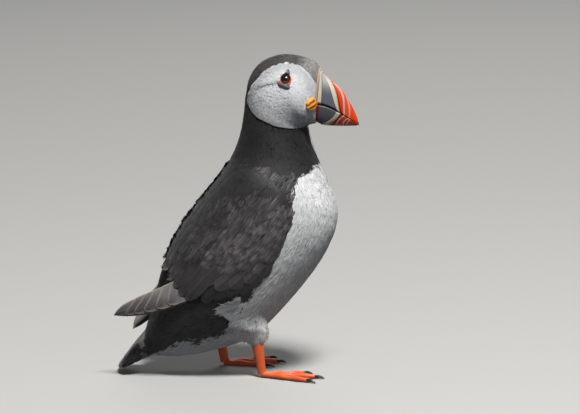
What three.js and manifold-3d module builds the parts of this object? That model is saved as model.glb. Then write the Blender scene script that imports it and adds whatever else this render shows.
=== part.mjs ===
// An Atlantic puffin at life size, standing with its neck raised and its head turned a little to its
// right, as a still museum model. Millimetres, +Z up, bill towards +X, feet on the floor at Z = 0.
//
// Trunk, neck and head are lengths of one lofted surface. Each station of that loft is a flat section
// through a point of the back and a point of the belly, and the sections fan from upright at the tail,
// through level at the neck, to upright again at the bill. Wings, eyes and legs are set on that surface.
import * as THREE from "three";
import { mergeVertices } from "three/addons/utils/BufferGeometryUtils.js";
import Module from "manifold-3d";

const wasm = await Module();
wasm.setup();

// ---------------------------------------------------------------- driving dimensions
const GAP = 0.3; // clearance between neighbouring solids
const HEAD_TURN = THREE.MathUtils.degToRad(12); // how far the head is turned to the bird's right
const NECK_AXIS_X = 30; // the upright axis that the head turns about
const FRAME_SHIFT_X = -0.24; // centres the finished bird on the origin, front to back
const RIGHT = -1; // the bird's right side is -Y
const LEFT = 1;
const SIDES = [["right", RIGHT], ["left", LEFT]];

// Stations of the body: a point of the back, a point of the belly (x, z), and half the width.
const STATIONS = {
  tailRoot: { back: [-64, 29], belly: [-58, 11], halfWidth: 13 },
  rump: { back: [-58, 50], belly: [-38, 11], halfWidth: 26 },
  hips: { back: [-51, 76], belly: [-14, 15.5], halfWidth: 35 },
  loin: { back: [-41, 98], belly: [14, 26.5], halfWidth: 41 },
  middle: { back: [-27, 118], belly: [42, 55], halfWidth: 43.5 },
  breast: { back: [-12, 137.5], belly: [64, 86], halfWidth: 43 },
  shoulder: { back: [-3, 153], belly: [72, 113], halfWidth: 39 },
  neckBase: { back: [2.5, 167], belly: [63.4, 138.5], halfWidth: 31 },
  neck: { back: [5.5, 183], belly: [53.2, 160], halfWidth: 25.3 },
  throat: { back: [7, 196], belly: [50.2, 171.8], halfWidth: 22.7 },
  nape: { back: [10, 208.5], belly: [50.8, 173.8], halfWidth: 22 },
  hindCrown: { back: [18, 218.5], belly: [51.8, 174.8], halfWidth: 21.5 },
  crown: { back: [32, 224], belly: [53.2, 175.4], halfWidth: 20.5 },
  forehead: { back: [46.5, 223], belly: [54.8, 175.8], halfWidth: 16.8 },
  brow: { back: [56, 219.5], belly: [56, 176], halfWidth: 12.6 },
  billBase: { back: [60.2, 213.7], belly: [57, 176.2], halfWidth: 9 },
};
const STATION_NAMES = Object.keys(STATIONS);
const FULLNESS = 0.88; // 1 makes each section an ellipse, less makes it squarer
const HEAD_TAPER = 0.12; // the cheeks are this share wider than half the head, and the crown narrower

// Stations of the folded wing in side view: a point of its upper and of its lower edge, and thickness.
const WING_STATIONS = [
  { upper: [31, 139], lower: [37, 131], thick: 2 },
  { upper: [22, 146], lower: [38.5, 118], thick: 4 },
  { upper: [4, 147], lower: [34, 99], thick: 5 },
  { upper: [-10, 134.5], lower: [25, 80], thick: 5 },
  { upper: [-23, 119], lower: [14, 66], thick: 5 },
  { upper: [-35, 101], lower: [-1, 59.5], thick: 5 },
  { upper: [-44, 85], lower: [-20, 55], thick: 4.5 },
  { upper: [-49, 72], lower: [-36, 53], thick: 4 },
];
// Stations of the bunched primaries beyond the wing: upper and lower edge (x, distance from the
// bird's middle plane, z), and thickness.
const PRIMARY_STATIONS = [
  { upper: [-41, 31, 78], lower: [-28, 39, 56], thick: 3.6 },
  { upper: [-49, 30, 71.5], lower: [-38, 37.5, 51.5], thick: 3.4 },
  { upper: [-59, 30, 64.5], lower: [-51, 35, 47.5], thick: 2.8 },
  { upper: [-70, 27, 56], lower: [-66, 30, 43.5], thick: 2.2 },
  { upper: [-79, 24, 49.5], lower: [-78, 25, 43], thick: 1.6 },
  { upper: [-85.5, 22, 45.3], lower: [-85.3, 22, 44.3], thick: 0.9 },
];
const LEFT_PRIMARIES_DROOP = THREE.MathUtils.degToRad(27); // the left wing tip hangs lower
const PRIMARIES_PIVOT = [-40, 36, 60]; // the left tip droops about this point of the wing

// Stations of the tail, from its root to its rounded tip.
const TAIL_STATIONS = [
  { back: [-64.3, 28.9], belly: [-58.3, 10.9], halfWidth: 12.8 },
  { back: [-69.5, 22.6], belly: [-64.5, 8.6], halfWidth: 16.5 },
  { back: [-75, 15.2], belly: [-71, 6], halfWidth: 18 },
  { back: [-80, 8], belly: [-77, 3.8], halfWidth: 16 },
  { back: [-82.6, 4.2], belly: [-81.6, 3], halfWidth: 9 },
];

// The bill in side view: culmen, gape line and lower edge, each from base to tip, with half widths.
const CULMEN = [[60.5, 213.3], [64.6, 208.4], [73.9, 200.9], [80.9, 190.6], [85.4, 181.3], [87.2, 174.8]];
const GAPE_BASE = [58.9, 189];
const GAPE_TIP = [86.5, 176.2];
const LOWER_EDGE = [[57.6, 176.2], [61.3, 174.2], [69.3, 173.9], [77.3, 174.2], [84.9, 175.2]];
const BILL_HALF_WIDTHS = [8.4, 7.6, 6.1, 4.6, 2.9, 0.7];

// Eyes, eye plates and the fleshy rosettes of the gape, placed by side view on the head.
const EYE = { place: [38.7, 209.5], ballRadius: 5, sunk: 4.1 };
const ROSETTE = { place: [55.9, 191.4], radii: [4.3, 2.9, 4.3], sunk: 0.8 };
const PLATE_THICKNESS = 1.1;
const PLATE_DEPTH = [10, 24]; // how far from the middle plane an eye plate's drawing is cut

const LEG_SPREAD = 22; // each foot's distance from the middle plane
const TOE_OUT = THREE.MathUtils.degToRad(8);
// The right leg is a stride ahead of the left. Hip, knee and ankle are (x, z).
const LEGS = {
  right: { side: RIGHT, hip: [6, 46], knee: [13.5, 33], ankle: [15.8, 20], heelX: 18.5 },
  left: { side: LEFT, hip: [-9, 41], knee: [-10, 29], ankle: [-10.5, 17.5], heelX: -8 },
};
const THIGH_RADII = [17, 12, 6.4];
const TARSUS = { topRadius: 4.1, middleRadius: 3.3, footRadius: 3, sideRatio: 0.74 };
// Toes in the foot's own frame: length, spread from straight ahead, and root radius.
const TOES = {
  inner: { length: 30, spread: THREE.MathUtils.degToRad(24), radius: 2.3 },
  middle: { length: 37, spread: 0, radius: 2.5 },
  outer: { length: 36, spread: THREE.MathUtils.degToRad(-22), radius: 2.3 },
};
const TOE_GIRTHS = [1, 0.8, 0.92, 0.72, 0.84, 0.62]; // from root to tip, with two knuckles
const TOE_SINK = 0.86; // a toe's middle line lies this share of its radius above the floor
const WEB = { thickness: 0.9, reach: 0.97, notch: 0.8 }; // reach and notch are shares of a toe
const CLAW = { length: 6.5, radius: 1.25 };
const SHANK_CUT = 5.2; // height of the thin cut between shank and foot

// ---------------------------------------------------------------- materials
const material = (name, color, roughness) =>
  new THREE.MeshStandardMaterial({ name, color, roughness, metalness: 0 });
const BLACK_FEATHER = material("black feather", 0x1d1a1b, 0.75);
const WHITE_FEATHER = material("white feather", 0xe6e6e3, 0.85);
const FACE_FEATHER = material("face feather", 0xc9c9c8, 0.85);
const BILL_HORN = material("bill horn", 0xd9471c, 0.4);
const EYE_HORN = material("eye horn", 0x4a5663, 0.5);
const EYE_BALL = material("eye", 0x1a0f0c, 0.1);
const ROSETTE_SKIN = material("gape skin", 0xe29a1c, 0.55);
const FOOT_SKIN = material("foot skin", 0xd8491f, 0.5);
const CLAW_HORN = material("claw horn", 0x17130f, 0.4);

// ---------------------------------------------------------------- shape helpers
const sidePoint = ([x, z]) => new THREE.Vector3(x, 0, z);
const railThrough = (points) => new THREE.CatmullRomCurve3(points, false, "catmullrom", 0.5);
const smooth = (t) => THREE.MathUtils.smoothstep(t, 0, 1);

// Evenly spaced numbers from start to end, both included.
const spread = (start, end, steps) =>
  Array.from({ length: steps + 1 }, (_, i) => start + ((end - start) * i) / steps);

// A closed skin round a row of rings of points, with a fan over each end, its faces turned outwards.
function skinOver(rings) {
  const around = rings[0].length;
  const middle = (ring) =>
    ring.reduce((sum, p) => sum.add(p), new THREE.Vector3()).divideScalar(around);
  const points = [...rings.flat(), middle(rings[0]), middle(rings.at(-1))];
  const faces = [];
  for (let row = 0; row + 1 < rings.length; row++)
    for (let i = 0; i < around; i++) {
      const a = row * around + i;
      const b = row * around + ((i + 1) % around);
      faces.push([a, b, a + around], [b, b + around, a + around]);
    }
  const lastRow = (rings.length - 1) * around;
  for (let i = 0; i < around; i++) {
    const next = (i + 1) % around;
    faces.push([points.length - 2, next, i], [points.length - 1, lastRow + i, lastRow + next]);
  }
  let volume = 0;
  for (const [a, b, c] of faces) volume += points[a].dot(points[b].clone().cross(points[c]));
  const index = volume < 0 ? faces.flatMap(([a, b, c]) => [a, c, b]) : faces.flat();
  return new THREE.BufferGeometry().setFromPoints(points).setIndex(index);
}

const BLOCK = 200; // side of the blocks that trim the solids, longer than anything they trim

// A closed mesh as a solid that can be cut and joined.
function solidOf(geometry) {
  const bare = geometry.clone();
  bare.deleteAttribute("normal");
  bare.deleteAttribute("uv");
  const merged = mergeVertices(bare, 1e-4);
  return new wasm.Manifold(
    new wasm.Mesh({
      numProp: 3,
      vertProperties: merged.attributes.position.array,
      triVerts: new Uint32Array(merged.index.array),
    }),
  );
}

// The largest body of a cut or joined solid, as a geometry.
function geometryOf(solid) {
  const bodies = solid.decompose().sort((a, b) => b.volume() - a.volume());
  const mesh = bodies[0].getMesh();
  return new THREE.BufferGeometry()
    .setAttribute("position", new THREE.BufferAttribute(new Float32Array(mesh.vertProperties), 3))
    .setIndex(new THREE.BufferAttribute(new Uint32Array(mesh.triVerts), 1));
}

function piece(name, geometry, finish) {
  const mesh = new THREE.Mesh(geometry, finish);
  mesh.name = name;
  return mesh;
}

// ---------------------------------------------------------------- the body's own surface
const stationRail = (pick) => railThrough(STATION_NAMES.map((name) => pick(STATIONS[name])));
const BACK = stationRail((station) => sidePoint(station.back));
const BELLY = stationRail((station) => sidePoint(station.belly));
const GIRTH = stationRail((station) => new THREE.Vector3(station.halfWidth, 0, 0));
const alongAt = (name) => STATION_NAMES.indexOf(name) / (STATION_NAMES.length - 1);
const NECK_FROM = alongAt("neckBase");
const HEAD_FROM = alongAt("throat");

// A point of the body: along runs from 0 at the tail root to 1 at the bill base, and turn runs round
// the section from the back (0) through the left flank to the belly (pi). grow swells the body.
function bodyPoint(along, turn, grow = 0) {
  const back = BACK.getPoint(along);
  const belly = BELLY.getPoint(along);
  const upward = back.clone().sub(belly).multiplyScalar(0.5);
  const point = back.add(belly).multiplyScalar(0.5);
  const reach = 1 + grow / upward.length();
  point.addScaledVector(upward, reach * Math.cos(turn));
  const across = Math.sin(turn);
  const taper = HEAD_TAPER * smooth((along - NECK_FROM) / (HEAD_FROM - NECK_FROM));
  const girth = GIRTH.getPoint(along).x * (1 - taper * Math.cos(turn));
  point.y = Math.sign(across) * Math.abs(across) ** FULLNESS * (girth + grow);
  return point;
}

// Where a point of the side view lies on the body: along, and turn for the left side.
function placeOnFlank([x, z]) {
  const ahead = (along) => {
    const back = BACK.getPoint(along);
    const belly = BELLY.getPoint(along);
    return (belly.x - back.x) * (z - back.z) - (belly.z - back.z) * (x - back.x);
  };
  let low = 0;
  let high = 1;
  for (let i = 0; i < 40; i++) {
    const half = (low + high) / 2;
    if (ahead(half) > 0) low = half;
    else high = half;
  }
  const back = BACK.getPoint(low);
  const line = BELLY.getPoint(low).sub(back);
  const share = new THREE.Vector3(x, 0, z).sub(back).dot(line) / line.lengthSq();
  return { along: low, turn: Math.acos(THREE.MathUtils.clamp(1 - 2 * share, -1, 1)) };
}

// A point on the flank, seen from the side at (x, z), on the given side of the bird.
function flankPoint(place, side, grow = 0) {
  const { along, turn } = placeOnFlank(place);
  return bodyPoint(along, side * turn, grow);
}

// The direction straight out of the flank at a place of the side view.
function outwardFrom([x, z], side) {
  const reach = 0.5;
  const ahead = flankPoint([x + reach, z], side).sub(flankPoint([x - reach, z], side));
  const upward = flankPoint([x, z + reach], side).sub(flankPoint([x, z - reach], side));
  return upward.cross(ahead).multiplyScalar(side).normalize();
}

const BODY_SIDES = 28;
const bodyRing = (along, grow) =>
  spread(0, 2 * Math.PI, BODY_SIDES).slice(0, -1).map((turn) => bodyPoint(along, turn, grow));

// A length of the body between two places along it.
const bodyLength = (from, to, steps, grow = 0) =>
  skinOver(spread(from, to, steps).map((along) => bodyRing(along, grow)));

const CUT = 0.0035; // the thin cut between two lengths, as a share of the way along the body
const trunkLength = (grow) => bodyLength(0, NECK_FROM - CUT, 15, grow);
const headLength = (grow) => bodyLength(HEAD_FROM, 1, 12, grow);

// ---------------------------------------------------------------- trunk, neck and tail
function makeTrunk() {
  return piece("trunk", trunkLength(0), WHITE_FEATHER);
}

// The neck twists from straight ahead at its base to the head's own turn at its top.
function makeNeck() {
  const pivot = new THREE.Vector3(NECK_AXIS_X, 0, 0);
  const upright = new THREE.Vector3(0, 0, 1);
  const from = NECK_FROM;
  const to = HEAD_FROM - CUT;
  const rings = spread(from, to, 6).map((along) => {
    const twist = -HEAD_TURN * smooth((along - from) / (to - from));
    return bodyRing(along, 0).map((p) => p.sub(pivot).applyAxisAngle(upright, twist).add(pivot));
  });
  return piece("neck", skinOver(rings), BLACK_FEATHER);
}

function makeTail() {
  const rings = TAIL_STATIONS.map(({ back, belly, halfWidth }) => {
    const top = sidePoint(back);
    const bottom = sidePoint(belly);
    return spread(0, 2 * Math.PI, 20).slice(0, -1).map((turn) => {
      const point = top.clone().lerp(bottom, (1 - Math.cos(turn)) / 2);
      point.y = halfWidth * Math.sin(turn);
      return point;
    });
  });
  return piece("tail", skinOver(rings), BLACK_FEATHER);
}

// ---------------------------------------------------------------- wings
// A rail through one edge of the wing in side view, with the wing's thickness in place of depth.
const wingEdge = (edge) =>
  railThrough(WING_STATIONS.map((s) => new THREE.Vector3(s[edge][0], s.thick, s[edge][1])));
const WING_UPPER = wingEdge("upper");
const WING_LOWER = wingEdge("lower");
const WING_HOLLOW = 1.5; // how deep the wing's blank reaches into the body before it is hollowed

// How thick a flat piece is across its breadth, as a share: rounded at both edges.
const lensShare = (across) => 0.2 + 0.8 * Math.sin(Math.PI * across) ** 0.55;

// The arm of the wing lies on the flank: its outer face stands off the body, and its inner face is
// hollowed to fit the trunk.
function makeWingArm(name, side) {
  const across = spread(0, 1, 9);
  const rings = spread(0, 1, 14).map((share) => {
    const row = across.map((b) => {
      const { x, y: thick, z } = WING_UPPER.getPoint(share).lerp(WING_LOWER.getPoint(share), b);
      return { place: [x, z], standoff: GAP + thick * lensShare(b) };
    });
    const outer = row.map(({ place, standoff }) => flankPoint(place, side, standoff));
    const inner = row.map(({ place }) => flankPoint(place, side, -WING_HOLLOW)).reverse();
    return [...outer, ...inner];
  });
  const hollowed = solidOf(skinOver(rings)).subtract(solidOf(trunkLength(GAP)));
  return piece(name, geometryOf(hollowed), BLACK_FEATHER);
}

// The space behind the wing arm's rear edge, where the primaries may lie.
function behindWingArm() {
  const { upper, lower } = WING_STATIONS.at(-1);
  const edge = sidePoint(upper).sub(sidePoint(lower)).normalize();
  const backward = new THREE.Vector3(-edge.z, 0, edge.x);
  const centre = sidePoint(lower).addScaledVector(backward, GAP + BLOCK / 2);
  const block = new THREE.BoxGeometry(BLOCK, BLOCK, BLOCK);
  block.rotateY(Math.atan2(-backward.z, backward.x));
  return solidOf(block.translate(centre.x, centre.y, centre.z));
}

// The bunched primaries reach back past the rump, thin and pointed.
function makePrimaries(name, side, droop) {
  const pivot = new THREE.Vector3(...PRIMARIES_PIVOT);
  const level = new THREE.Vector3(0, 1, 0);
  const edge = (key) => railThrough(PRIMARY_STATIONS.map((s) => new THREE.Vector3(...s[key])));
  const upperRail = edge("upper");
  const lowerRail = edge("lower");
  const thickRail = railThrough(PRIMARY_STATIONS.map((s) => new THREE.Vector3(s.thick, 0, 0)));
  const across = spread(0, 1, 6);
  const rings = spread(0, 1, 10).map((share) => {
    const upper = upperRail.getPoint(share);
    const lower = lowerRail.getPoint(share);
    const half = thickRail.getPoint(share).x / 2;
    const layer = (b, offset) => {
      const point = upper.clone().lerp(lower, b);
      point.y += offset * half * lensShare(b);
      return point.sub(pivot).applyAxisAngle(level, -droop).add(pivot);
    };
    const outer = across.map((b) => layer(b, 1));
    const inner = across.map((b) => layer(b, -1)).reverse();
    return [...outer, ...inner].map((p) => p.multiply(new THREE.Vector3(1, side, 1)));
  });
  const tip = solidOf(skinOver(rings)).intersect(behindWingArm());
  return piece(name, geometryOf(tip.subtract(solidOf(trunkLength(GAP)))), BLACK_FEATHER);
}

// ---------------------------------------------------------------- bill
// Half of a mandible's section from its cutting edge (0) to its ridge (1): nearly flat sides and a
// narrow rounded ridge.
const billShare = (height) => (1 - 0.45 * height ** 1.6) * (1 - height ** 7) ** 0.5 * 0.94 + 0.06;

function makeMandible(edgePoints, ridgePoints, grow = 0) {
  const edgeLine = railThrough(edgePoints.map(sidePoint));
  const ridgeLine = railThrough(ridgePoints.map(sidePoint));
  const widthLine = railThrough(BILL_HALF_WIDTHS.map((w) => new THREE.Vector3(w, 0, 0)));
  const heights = [0, 0.18, 0.4, 0.62, 0.8, 0.92, 1];
  const rings = spread(0, 1, 12).map((share) => {
    const edge = edgeLine.getPoint(share);
    const ridge = ridgeLine.getPoint(share);
    const half = widthLine.getPoint(share).x;
    const side = (sign) =>
      heights.map((height) => {
        const point = edge.clone().lerp(ridge, height);
        point.y = sign * (half * billShare(height) + grow);
        return point;
      });
    return [...side(1), ...side(-1).reverse()];
  });
  return skinOver(rings);
}

// The gape line, moved square to itself so that the two mandibles keep their clearance.
function gapeLine(offset) {
  const base = sidePoint(GAPE_BASE);
  const tip = sidePoint(GAPE_TIP);
  const along = tip.clone().sub(base).normalize();
  const up = new THREE.Vector3(-along.z, 0, along.x);
  return [base, tip].map((p) => p.addScaledVector(up, offset)).map((p) => [p.x, p.z]);
}

// ---------------------------------------------------------------- eyes and gape rosettes
// An ellipsoid set at a place on the head, its short axis square to the cheek.
function cushionAt(place, side, radii, sunk, grow = 0) {
  const outward = outwardFrom(place, side);
  const upright = new THREE.Quaternion().setFromUnitVectors(new THREE.Vector3(0, side, 0), outward);
  const centre = flankPoint(place, side).addScaledVector(outward, -sunk);
  return new THREE.SphereGeometry(1, 12, 9)
    .scale(...radii.map((radius) => radius + grow))
    .applyQuaternion(upright)
    .translate(centre.x, centre.y, centre.z);
}

const eyeBall = (side, grow = 0) =>
  cushionAt(EYE.place, side, Array(3).fill(EYE.ballRadius), EYE.sunk, grow);

// The horn plates of the summer bird, drawn about the middle of the eye: a small peak over it, and a
// slanting bar under it.
function upperPlateShape() {
  const peak = new THREE.Shape();
  peak.moveTo(-0.9, 2.8);
  peak.quadraticCurveTo(0.9, 3.9, 2.7, 2.6);
  peak.lineTo(1.3, 6.4);
  return peak.closePath();
}

const lowerPlateShape = () =>
  new THREE.Shape().absellipse(-0.9, -4.5, 4.5, 1.35, 0, 2 * Math.PI, false, -0.3);

function eyePlate(shape, side) {
  const [near, far] = PLATE_DEPTH;
  const [x, z] = EYE.place;
  const drawn = { depth: far - near, curveSegments: 6, bevelEnabled: false };
  const block = new THREE.ExtrudeGeometry(shape, drawn)
    .rotateX(Math.PI / 2) // the drawing's upright becomes Z, and it is drawn out towards -Y
    .translate(x, side === LEFT ? far : -near, z);
  return solidOf(block)
    .intersect(solidOf(headLength(GAP + PLATE_THICKNESS)))
    .subtract(solidOf(headLength(GAP)))
    .subtract(solidOf(eyeBall(side, GAP)));
}

// The fleshy rosette swells over the corner of the gape, clear of the head and of the bill.
function gapeRosette(side) {
  const billNearby = (ridge) => solidOf(makeMandible([GAPE_BASE, GAPE_TIP], ridge, GAP));
  return solidOf(cushionAt(ROSETTE.place, side, ROSETTE.radii, ROSETTE.sunk))
    .subtract(solidOf(headLength(GAP)))
    .subtract(billNearby(CULMEN))
    .subtract(billNearby(LOWER_EDGE));
}

function makeHead() {
  const group = new THREE.Group();
  let skull = solidOf(headLength(0));
  for (const [name, side] of SIDES) {
    skull = skull.subtract(solidOf(eyeBall(side, GAP)));
    group.add(
      piece(`eye_${name}`, eyeBall(side), EYE_BALL),
      piece(`eye_plate_upper_${name}`, geometryOf(eyePlate(upperPlateShape(), side)), EYE_HORN),
      piece(`eye_plate_lower_${name}`, geometryOf(eyePlate(lowerPlateShape(), side)), EYE_HORN),
      piece(`gape_rosette_${name}`, geometryOf(gapeRosette(side)), ROSETTE_SKIN),
    );
  }
  group.add(
    piece("head", geometryOf(skull), FACE_FEATHER),
    piece("bill_upper", makeMandible(gapeLine(GAP / 2), CULMEN), BILL_HORN),
    piece("bill_lower", makeMandible(gapeLine(-GAP / 2), LOWER_EDGE), BILL_HORN),
  );
  group.children.forEach((mesh) => mesh.geometry.translate(-NECK_AXIS_X, 0, 0));
  group.position.x = NECK_AXIS_X;
  group.rotation.z = -HEAD_TURN;
  return group;
}

// ---------------------------------------------------------------- legs and feet
// A round or oval tube through points of given radii; squash narrows it from side to side.
function limb(points, radii, sides, squash = 1) {
  const path = railThrough(points);
  const girth = railThrough(radii.map((r) => new THREE.Vector3(r, 0, 0)));
  const rings = spread(0, 1, (points.length - 1) * 2).map((share) => {
    const centre = path.getPoint(share);
    const ahead = path.getTangent(share);
    const across = new THREE.Vector3().crossVectors(new THREE.Vector3(0, 0, 1), ahead);
    if (across.lengthSq() < 0.02) across.set(0, 1, 0);
    across.normalize();
    const other = new THREE.Vector3().crossVectors(ahead, across).normalize();
    const radius = girth.getPoint(share).x;
    return spread(0, 2 * Math.PI, sides).slice(0, -1).map((turn) =>
      centre.clone()
        .addScaledVector(across, radius * squash * Math.cos(turn))
        .addScaledVector(other, radius * Math.sin(turn)),
    );
  });
  return skinOver(rings);
}

// Everything between two heights, to trim a leg with.
const layer = (low, high) =>
  solidOf(new THREE.BoxGeometry(BLOCK, BLOCK, high - low).translate(0, 0, (low + high) / 2));

// The feathered thigh, from the flank down to the bare shank.
const thighBlank = ({ side, hip, knee, ankle }, grow) =>
  limb(
    [hip, knee, ankle].map(([x, z]) => new THREE.Vector3(x, side * LEG_SPREAD, z)),
    THIGH_RADII.map((radius) => radius + grow),
    18,
  );

const toePoint = (toe, side, share, height) =>
  new THREE.Vector3(
    toe.length * share * Math.cos(toe.spread),
    side * toe.length * share * -Math.sin(toe.spread),
    height,
  );

// One toe lies along the floor.
function makeToe(toe, side) {
  const radii = TOE_GIRTHS.map((share) => toe.radius * share);
  const points = radii.map((r, i) => toePoint(toe, side, i / (radii.length - 1), r * TOE_SINK));
  return solidOf(limb(points, radii, 8));
}

// The web fills the space between two toes, with a hollow front edge.
function makeWeb(one, other, side) {
  const tips = [one, other].map((toe) => toePoint(toe, side, WEB.reach, 0));
  const notch = tips[0].clone().add(tips[1]).multiplyScalar(0.5 * WEB.notch);
  const edge = new THREE.QuadraticBezierCurve3(tips[0], notch, tips[1]).getPoints(6);
  const outline = new THREE.Shape([new THREE.Vector3(), ...edge]);
  return solidOf(
    new THREE.ExtrudeGeometry(outline, { depth: WEB.thickness, bevelEnabled: false }),
  );
}

function makeClaw(toe, side) {
  const start = 1 + GAP / toe.length;
  const reach = CLAW.length / toe.length;
  const along = (share, height) => toePoint(toe, side, start + reach * share, height);
  const points = [along(0, 1.5), along(0.4, 1.7), along(0.75, 1.1), along(1, 0.45)];
  const radii = [1, 0.9, 0.6, 0.25].map((share) => CLAW.radius * share);
  return limb(points, radii, 8);
}

// The foot is modelled about its heel, pointing along +X, and set down turned out a little.
function makeLeg(name, leg) {
  const { side, ankle, heelX } = leg;
  const thigh = solidOf(thighBlank(leg, 0)).subtract(solidOf(trunkLength(GAP)));
  const foot = new THREE.Group();
  foot.position.set(heelX, side * LEG_SPREAD, 0);
  foot.rotation.z = side * TOE_OUT;
  foot.updateMatrix();

  const { inner, middle, outer } = TOES;
  const [ankleX, ankleZ] = [ankle[0] - heelX, ankle[1]];
  const shank = limb(
    [[ankleX, ankleZ + 1.5], [ankleX / 2, ankleZ / 2 + 1], [0, 2.2]].map(sidePoint),
    [TARSUS.topRadius, TARSUS.middleRadius, TARSUS.footRadius],
    12,
    TARSUS.sideRatio,
  );
  let sole = makeWeb(inner, middle, side).add(makeWeb(middle, outer, side));
  for (const toe of Object.values(TOES)) sole = sole.add(makeToe(toe, side));
  const besideThigh = thighBlank(leg, GAP).applyMatrix4(foot.matrix.clone().invert());
  const bareLeg = sole.add(solidOf(shank)).subtract(solidOf(besideThigh));
  foot.add(
    piece(`foot_${name}`, geometryOf(bareLeg.intersect(layer(0, SHANK_CUT))), FOOT_SKIN),
    piece(`shank_${name}`, geometryOf(bareLeg.intersect(layer(SHANK_CUT + GAP, BLOCK))), FOOT_SKIN),
  );
  for (const [which, toe] of Object.entries(TOES)) {
    const claw = solidOf(makeClaw(toe, side)).intersect(layer(0, BLOCK));
    foot.add(piece(`claw_${which}_${name}`, geometryOf(claw), CLAW_HORN));
  }
  return new THREE.Group().add(piece(`thigh_${name}`, geometryOf(thigh), WHITE_FEATHER), foot);
}

// ---------------------------------------------------------------- the whole bird
const puffin = new THREE.Group();
puffin.add(makeTrunk(), makeNeck(), makeHead(), makeTail());
for (const [name, side] of SIDES) {
  const droop = side === LEFT ? LEFT_PRIMARIES_DROOP : 0;
  puffin.add(makeWingArm(`wing_${name}`, side), makePrimaries(`primaries_${name}`, side, droop));
}
for (const [name, leg] of Object.entries(LEGS)) puffin.add(makeLeg(name, leg));
puffin.position.x = FRAME_SHIFT_X;

export default puffin;
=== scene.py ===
"""Atlantic puffin: a life-size still model, standing on both feet with its head turned a little."""
import math

import bpy
import numpy as np
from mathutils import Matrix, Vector


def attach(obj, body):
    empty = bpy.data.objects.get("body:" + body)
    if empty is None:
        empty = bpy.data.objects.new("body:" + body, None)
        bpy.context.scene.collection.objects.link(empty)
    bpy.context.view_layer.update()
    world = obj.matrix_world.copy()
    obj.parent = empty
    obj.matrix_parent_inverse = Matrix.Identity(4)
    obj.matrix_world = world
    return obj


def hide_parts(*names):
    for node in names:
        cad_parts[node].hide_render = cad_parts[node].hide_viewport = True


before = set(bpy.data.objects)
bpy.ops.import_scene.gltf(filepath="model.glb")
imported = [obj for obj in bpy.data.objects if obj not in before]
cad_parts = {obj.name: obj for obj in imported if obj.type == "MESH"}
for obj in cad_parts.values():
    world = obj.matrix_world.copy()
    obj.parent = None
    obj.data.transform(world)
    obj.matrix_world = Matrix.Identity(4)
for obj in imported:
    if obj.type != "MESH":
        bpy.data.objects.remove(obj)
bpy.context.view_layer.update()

# ---------------------------------------------------------------- skin
# The skin covers body, neck, head, both folded wing arms and both thighs in one piece. It is soft
# hide over the flesh, and lies a coat's depth inside the outline of the feathers.
# Lengths are in millimetres, and the side view of the body is (x, z).
BODY_STATIONS = np.array([  # back x, z, belly x, z and half width, from the tail root to the bill base
    [-64, 29, -58, 11, 13], [-58, 50, -38, 11, 26], [-51, 76, -14, 15.5, 35], [-41, 98, 14, 26.5, 41],
    [-27, 118, 42, 55, 43.5], [-12, 137.5, 64, 86, 43], [-3, 153, 72, 113, 39],
    [2.5, 167, 63.4, 138.5, 31], [5.5, 183, 53.2, 160, 25.3], [7, 196, 50.2, 171.8, 22.7],
    [10, 208.5, 50.8, 173.8, 22], [18, 218.5, 51.8, 174.8, 21.5], [32, 224, 53.2, 175.4, 20.5],
    [46.5, 223, 54.8, 175.8, 16.8], [56, 219.5, 56, 176, 12.6], [60.2, 213.7, 57, 176.2, 9]])
TAIL_COVERTS = np.array([  # the same body carried on over the root of the tail
    [-80, 8, -77, 3.8, 16], [-75, 15.2, -71, 6, 18], [-69.5, 22.6, -64.5, 8.6, 16.5]])
NECK_FROM, HEAD_FROM, BILL_BASE = 7, 9, 15
HEAD_TURN = math.radians(12)
NECK_AXIS = 30
FRAME_SHIFT = np.array([-0.24, 0, 0])
SIDES = {"right": -1, "left": 1}


def rail(rows, s):
    """A smooth curve through the rows, which it meets at s = 0, 1, 2 and so on (Catmull-Rom)."""
    padded = np.vstack([2 * rows[0] - rows[1], rows, 2 * rows[-1] - rows[-2]])
    s = np.clip(np.asarray(s, float), 0, len(rows) - 1 - 1e-9)
    i = s.astype(int)
    t = (s - i)[..., None]
    a, b, c, d = padded[i], padded[i + 1], padded[i + 2], padded[i + 3]
    return 0.5 * (2 * b + (c - a) * t + (2 * a - 5 * b + 4 * c - d) * t**2
                  + (3 * b - a - 3 * c + d) * t**3)


def smooth(t):
    """Goes from 0 to 1 as t does, level at both ends."""
    t = np.clip(t, 0, 1)
    return t * t * (3 - 2 * t)


def turned(points, twist):
    """Points turned by the twist about the neck's upright axis."""
    dx, y = points[..., 0] - NECK_AXIS, points[..., 1]
    x = NECK_AXIS + dx * np.cos(twist) - y * np.sin(twist)
    return np.stack([x, dx * np.sin(twist) + y * np.cos(twist), points[..., 2]], -1)


def twist_at(s):
    """The neck turns from straight ahead at its base to the head's own turn at its top."""
    return -HEAD_TURN * smooth((s - NECK_FROM) / (HEAD_FROM - 0.0525 - NECK_FROM))


def body_point(s, turn, grow=0.0, straight=False):
    """Each station is an oval from back to belly: its height is the cosine of the turn and its width
    the sine to the power 0.88, so that it is a little square. The crown is narrower than the cheeks.
    Below s = 0 the body runs on over the root of the tail."""
    over = len(TAIL_COVERTS)
    rows = np.where((s < 0)[..., None], rail(np.vstack([TAIL_COVERTS, BODY_STATIONS[:2]]), s + over),
                    rail(BODY_STATIONS, s))
    back, belly, half_width = rows[..., :2], rows[..., 2:4], rows[..., 4]
    upward = (back - belly) / 2
    reach = 1 + grow / np.linalg.norm(upward, axis=-1)
    side_view = (back + belly) / 2 + upward * (reach * np.cos(turn))[..., None]
    across = np.sin(turn)
    taper = 0.12 * smooth((s - NECK_FROM) / (HEAD_FROM - NECK_FROM))
    y = np.sign(across) * np.abs(across)**0.88 * (half_width * (1 - taper * np.cos(turn)) + grow)
    points = np.stack([side_view[..., 0], y, side_view[..., 1]], -1)
    return points if straight else turned(points, twist_at(s)) + FRAME_SHIFT


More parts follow.
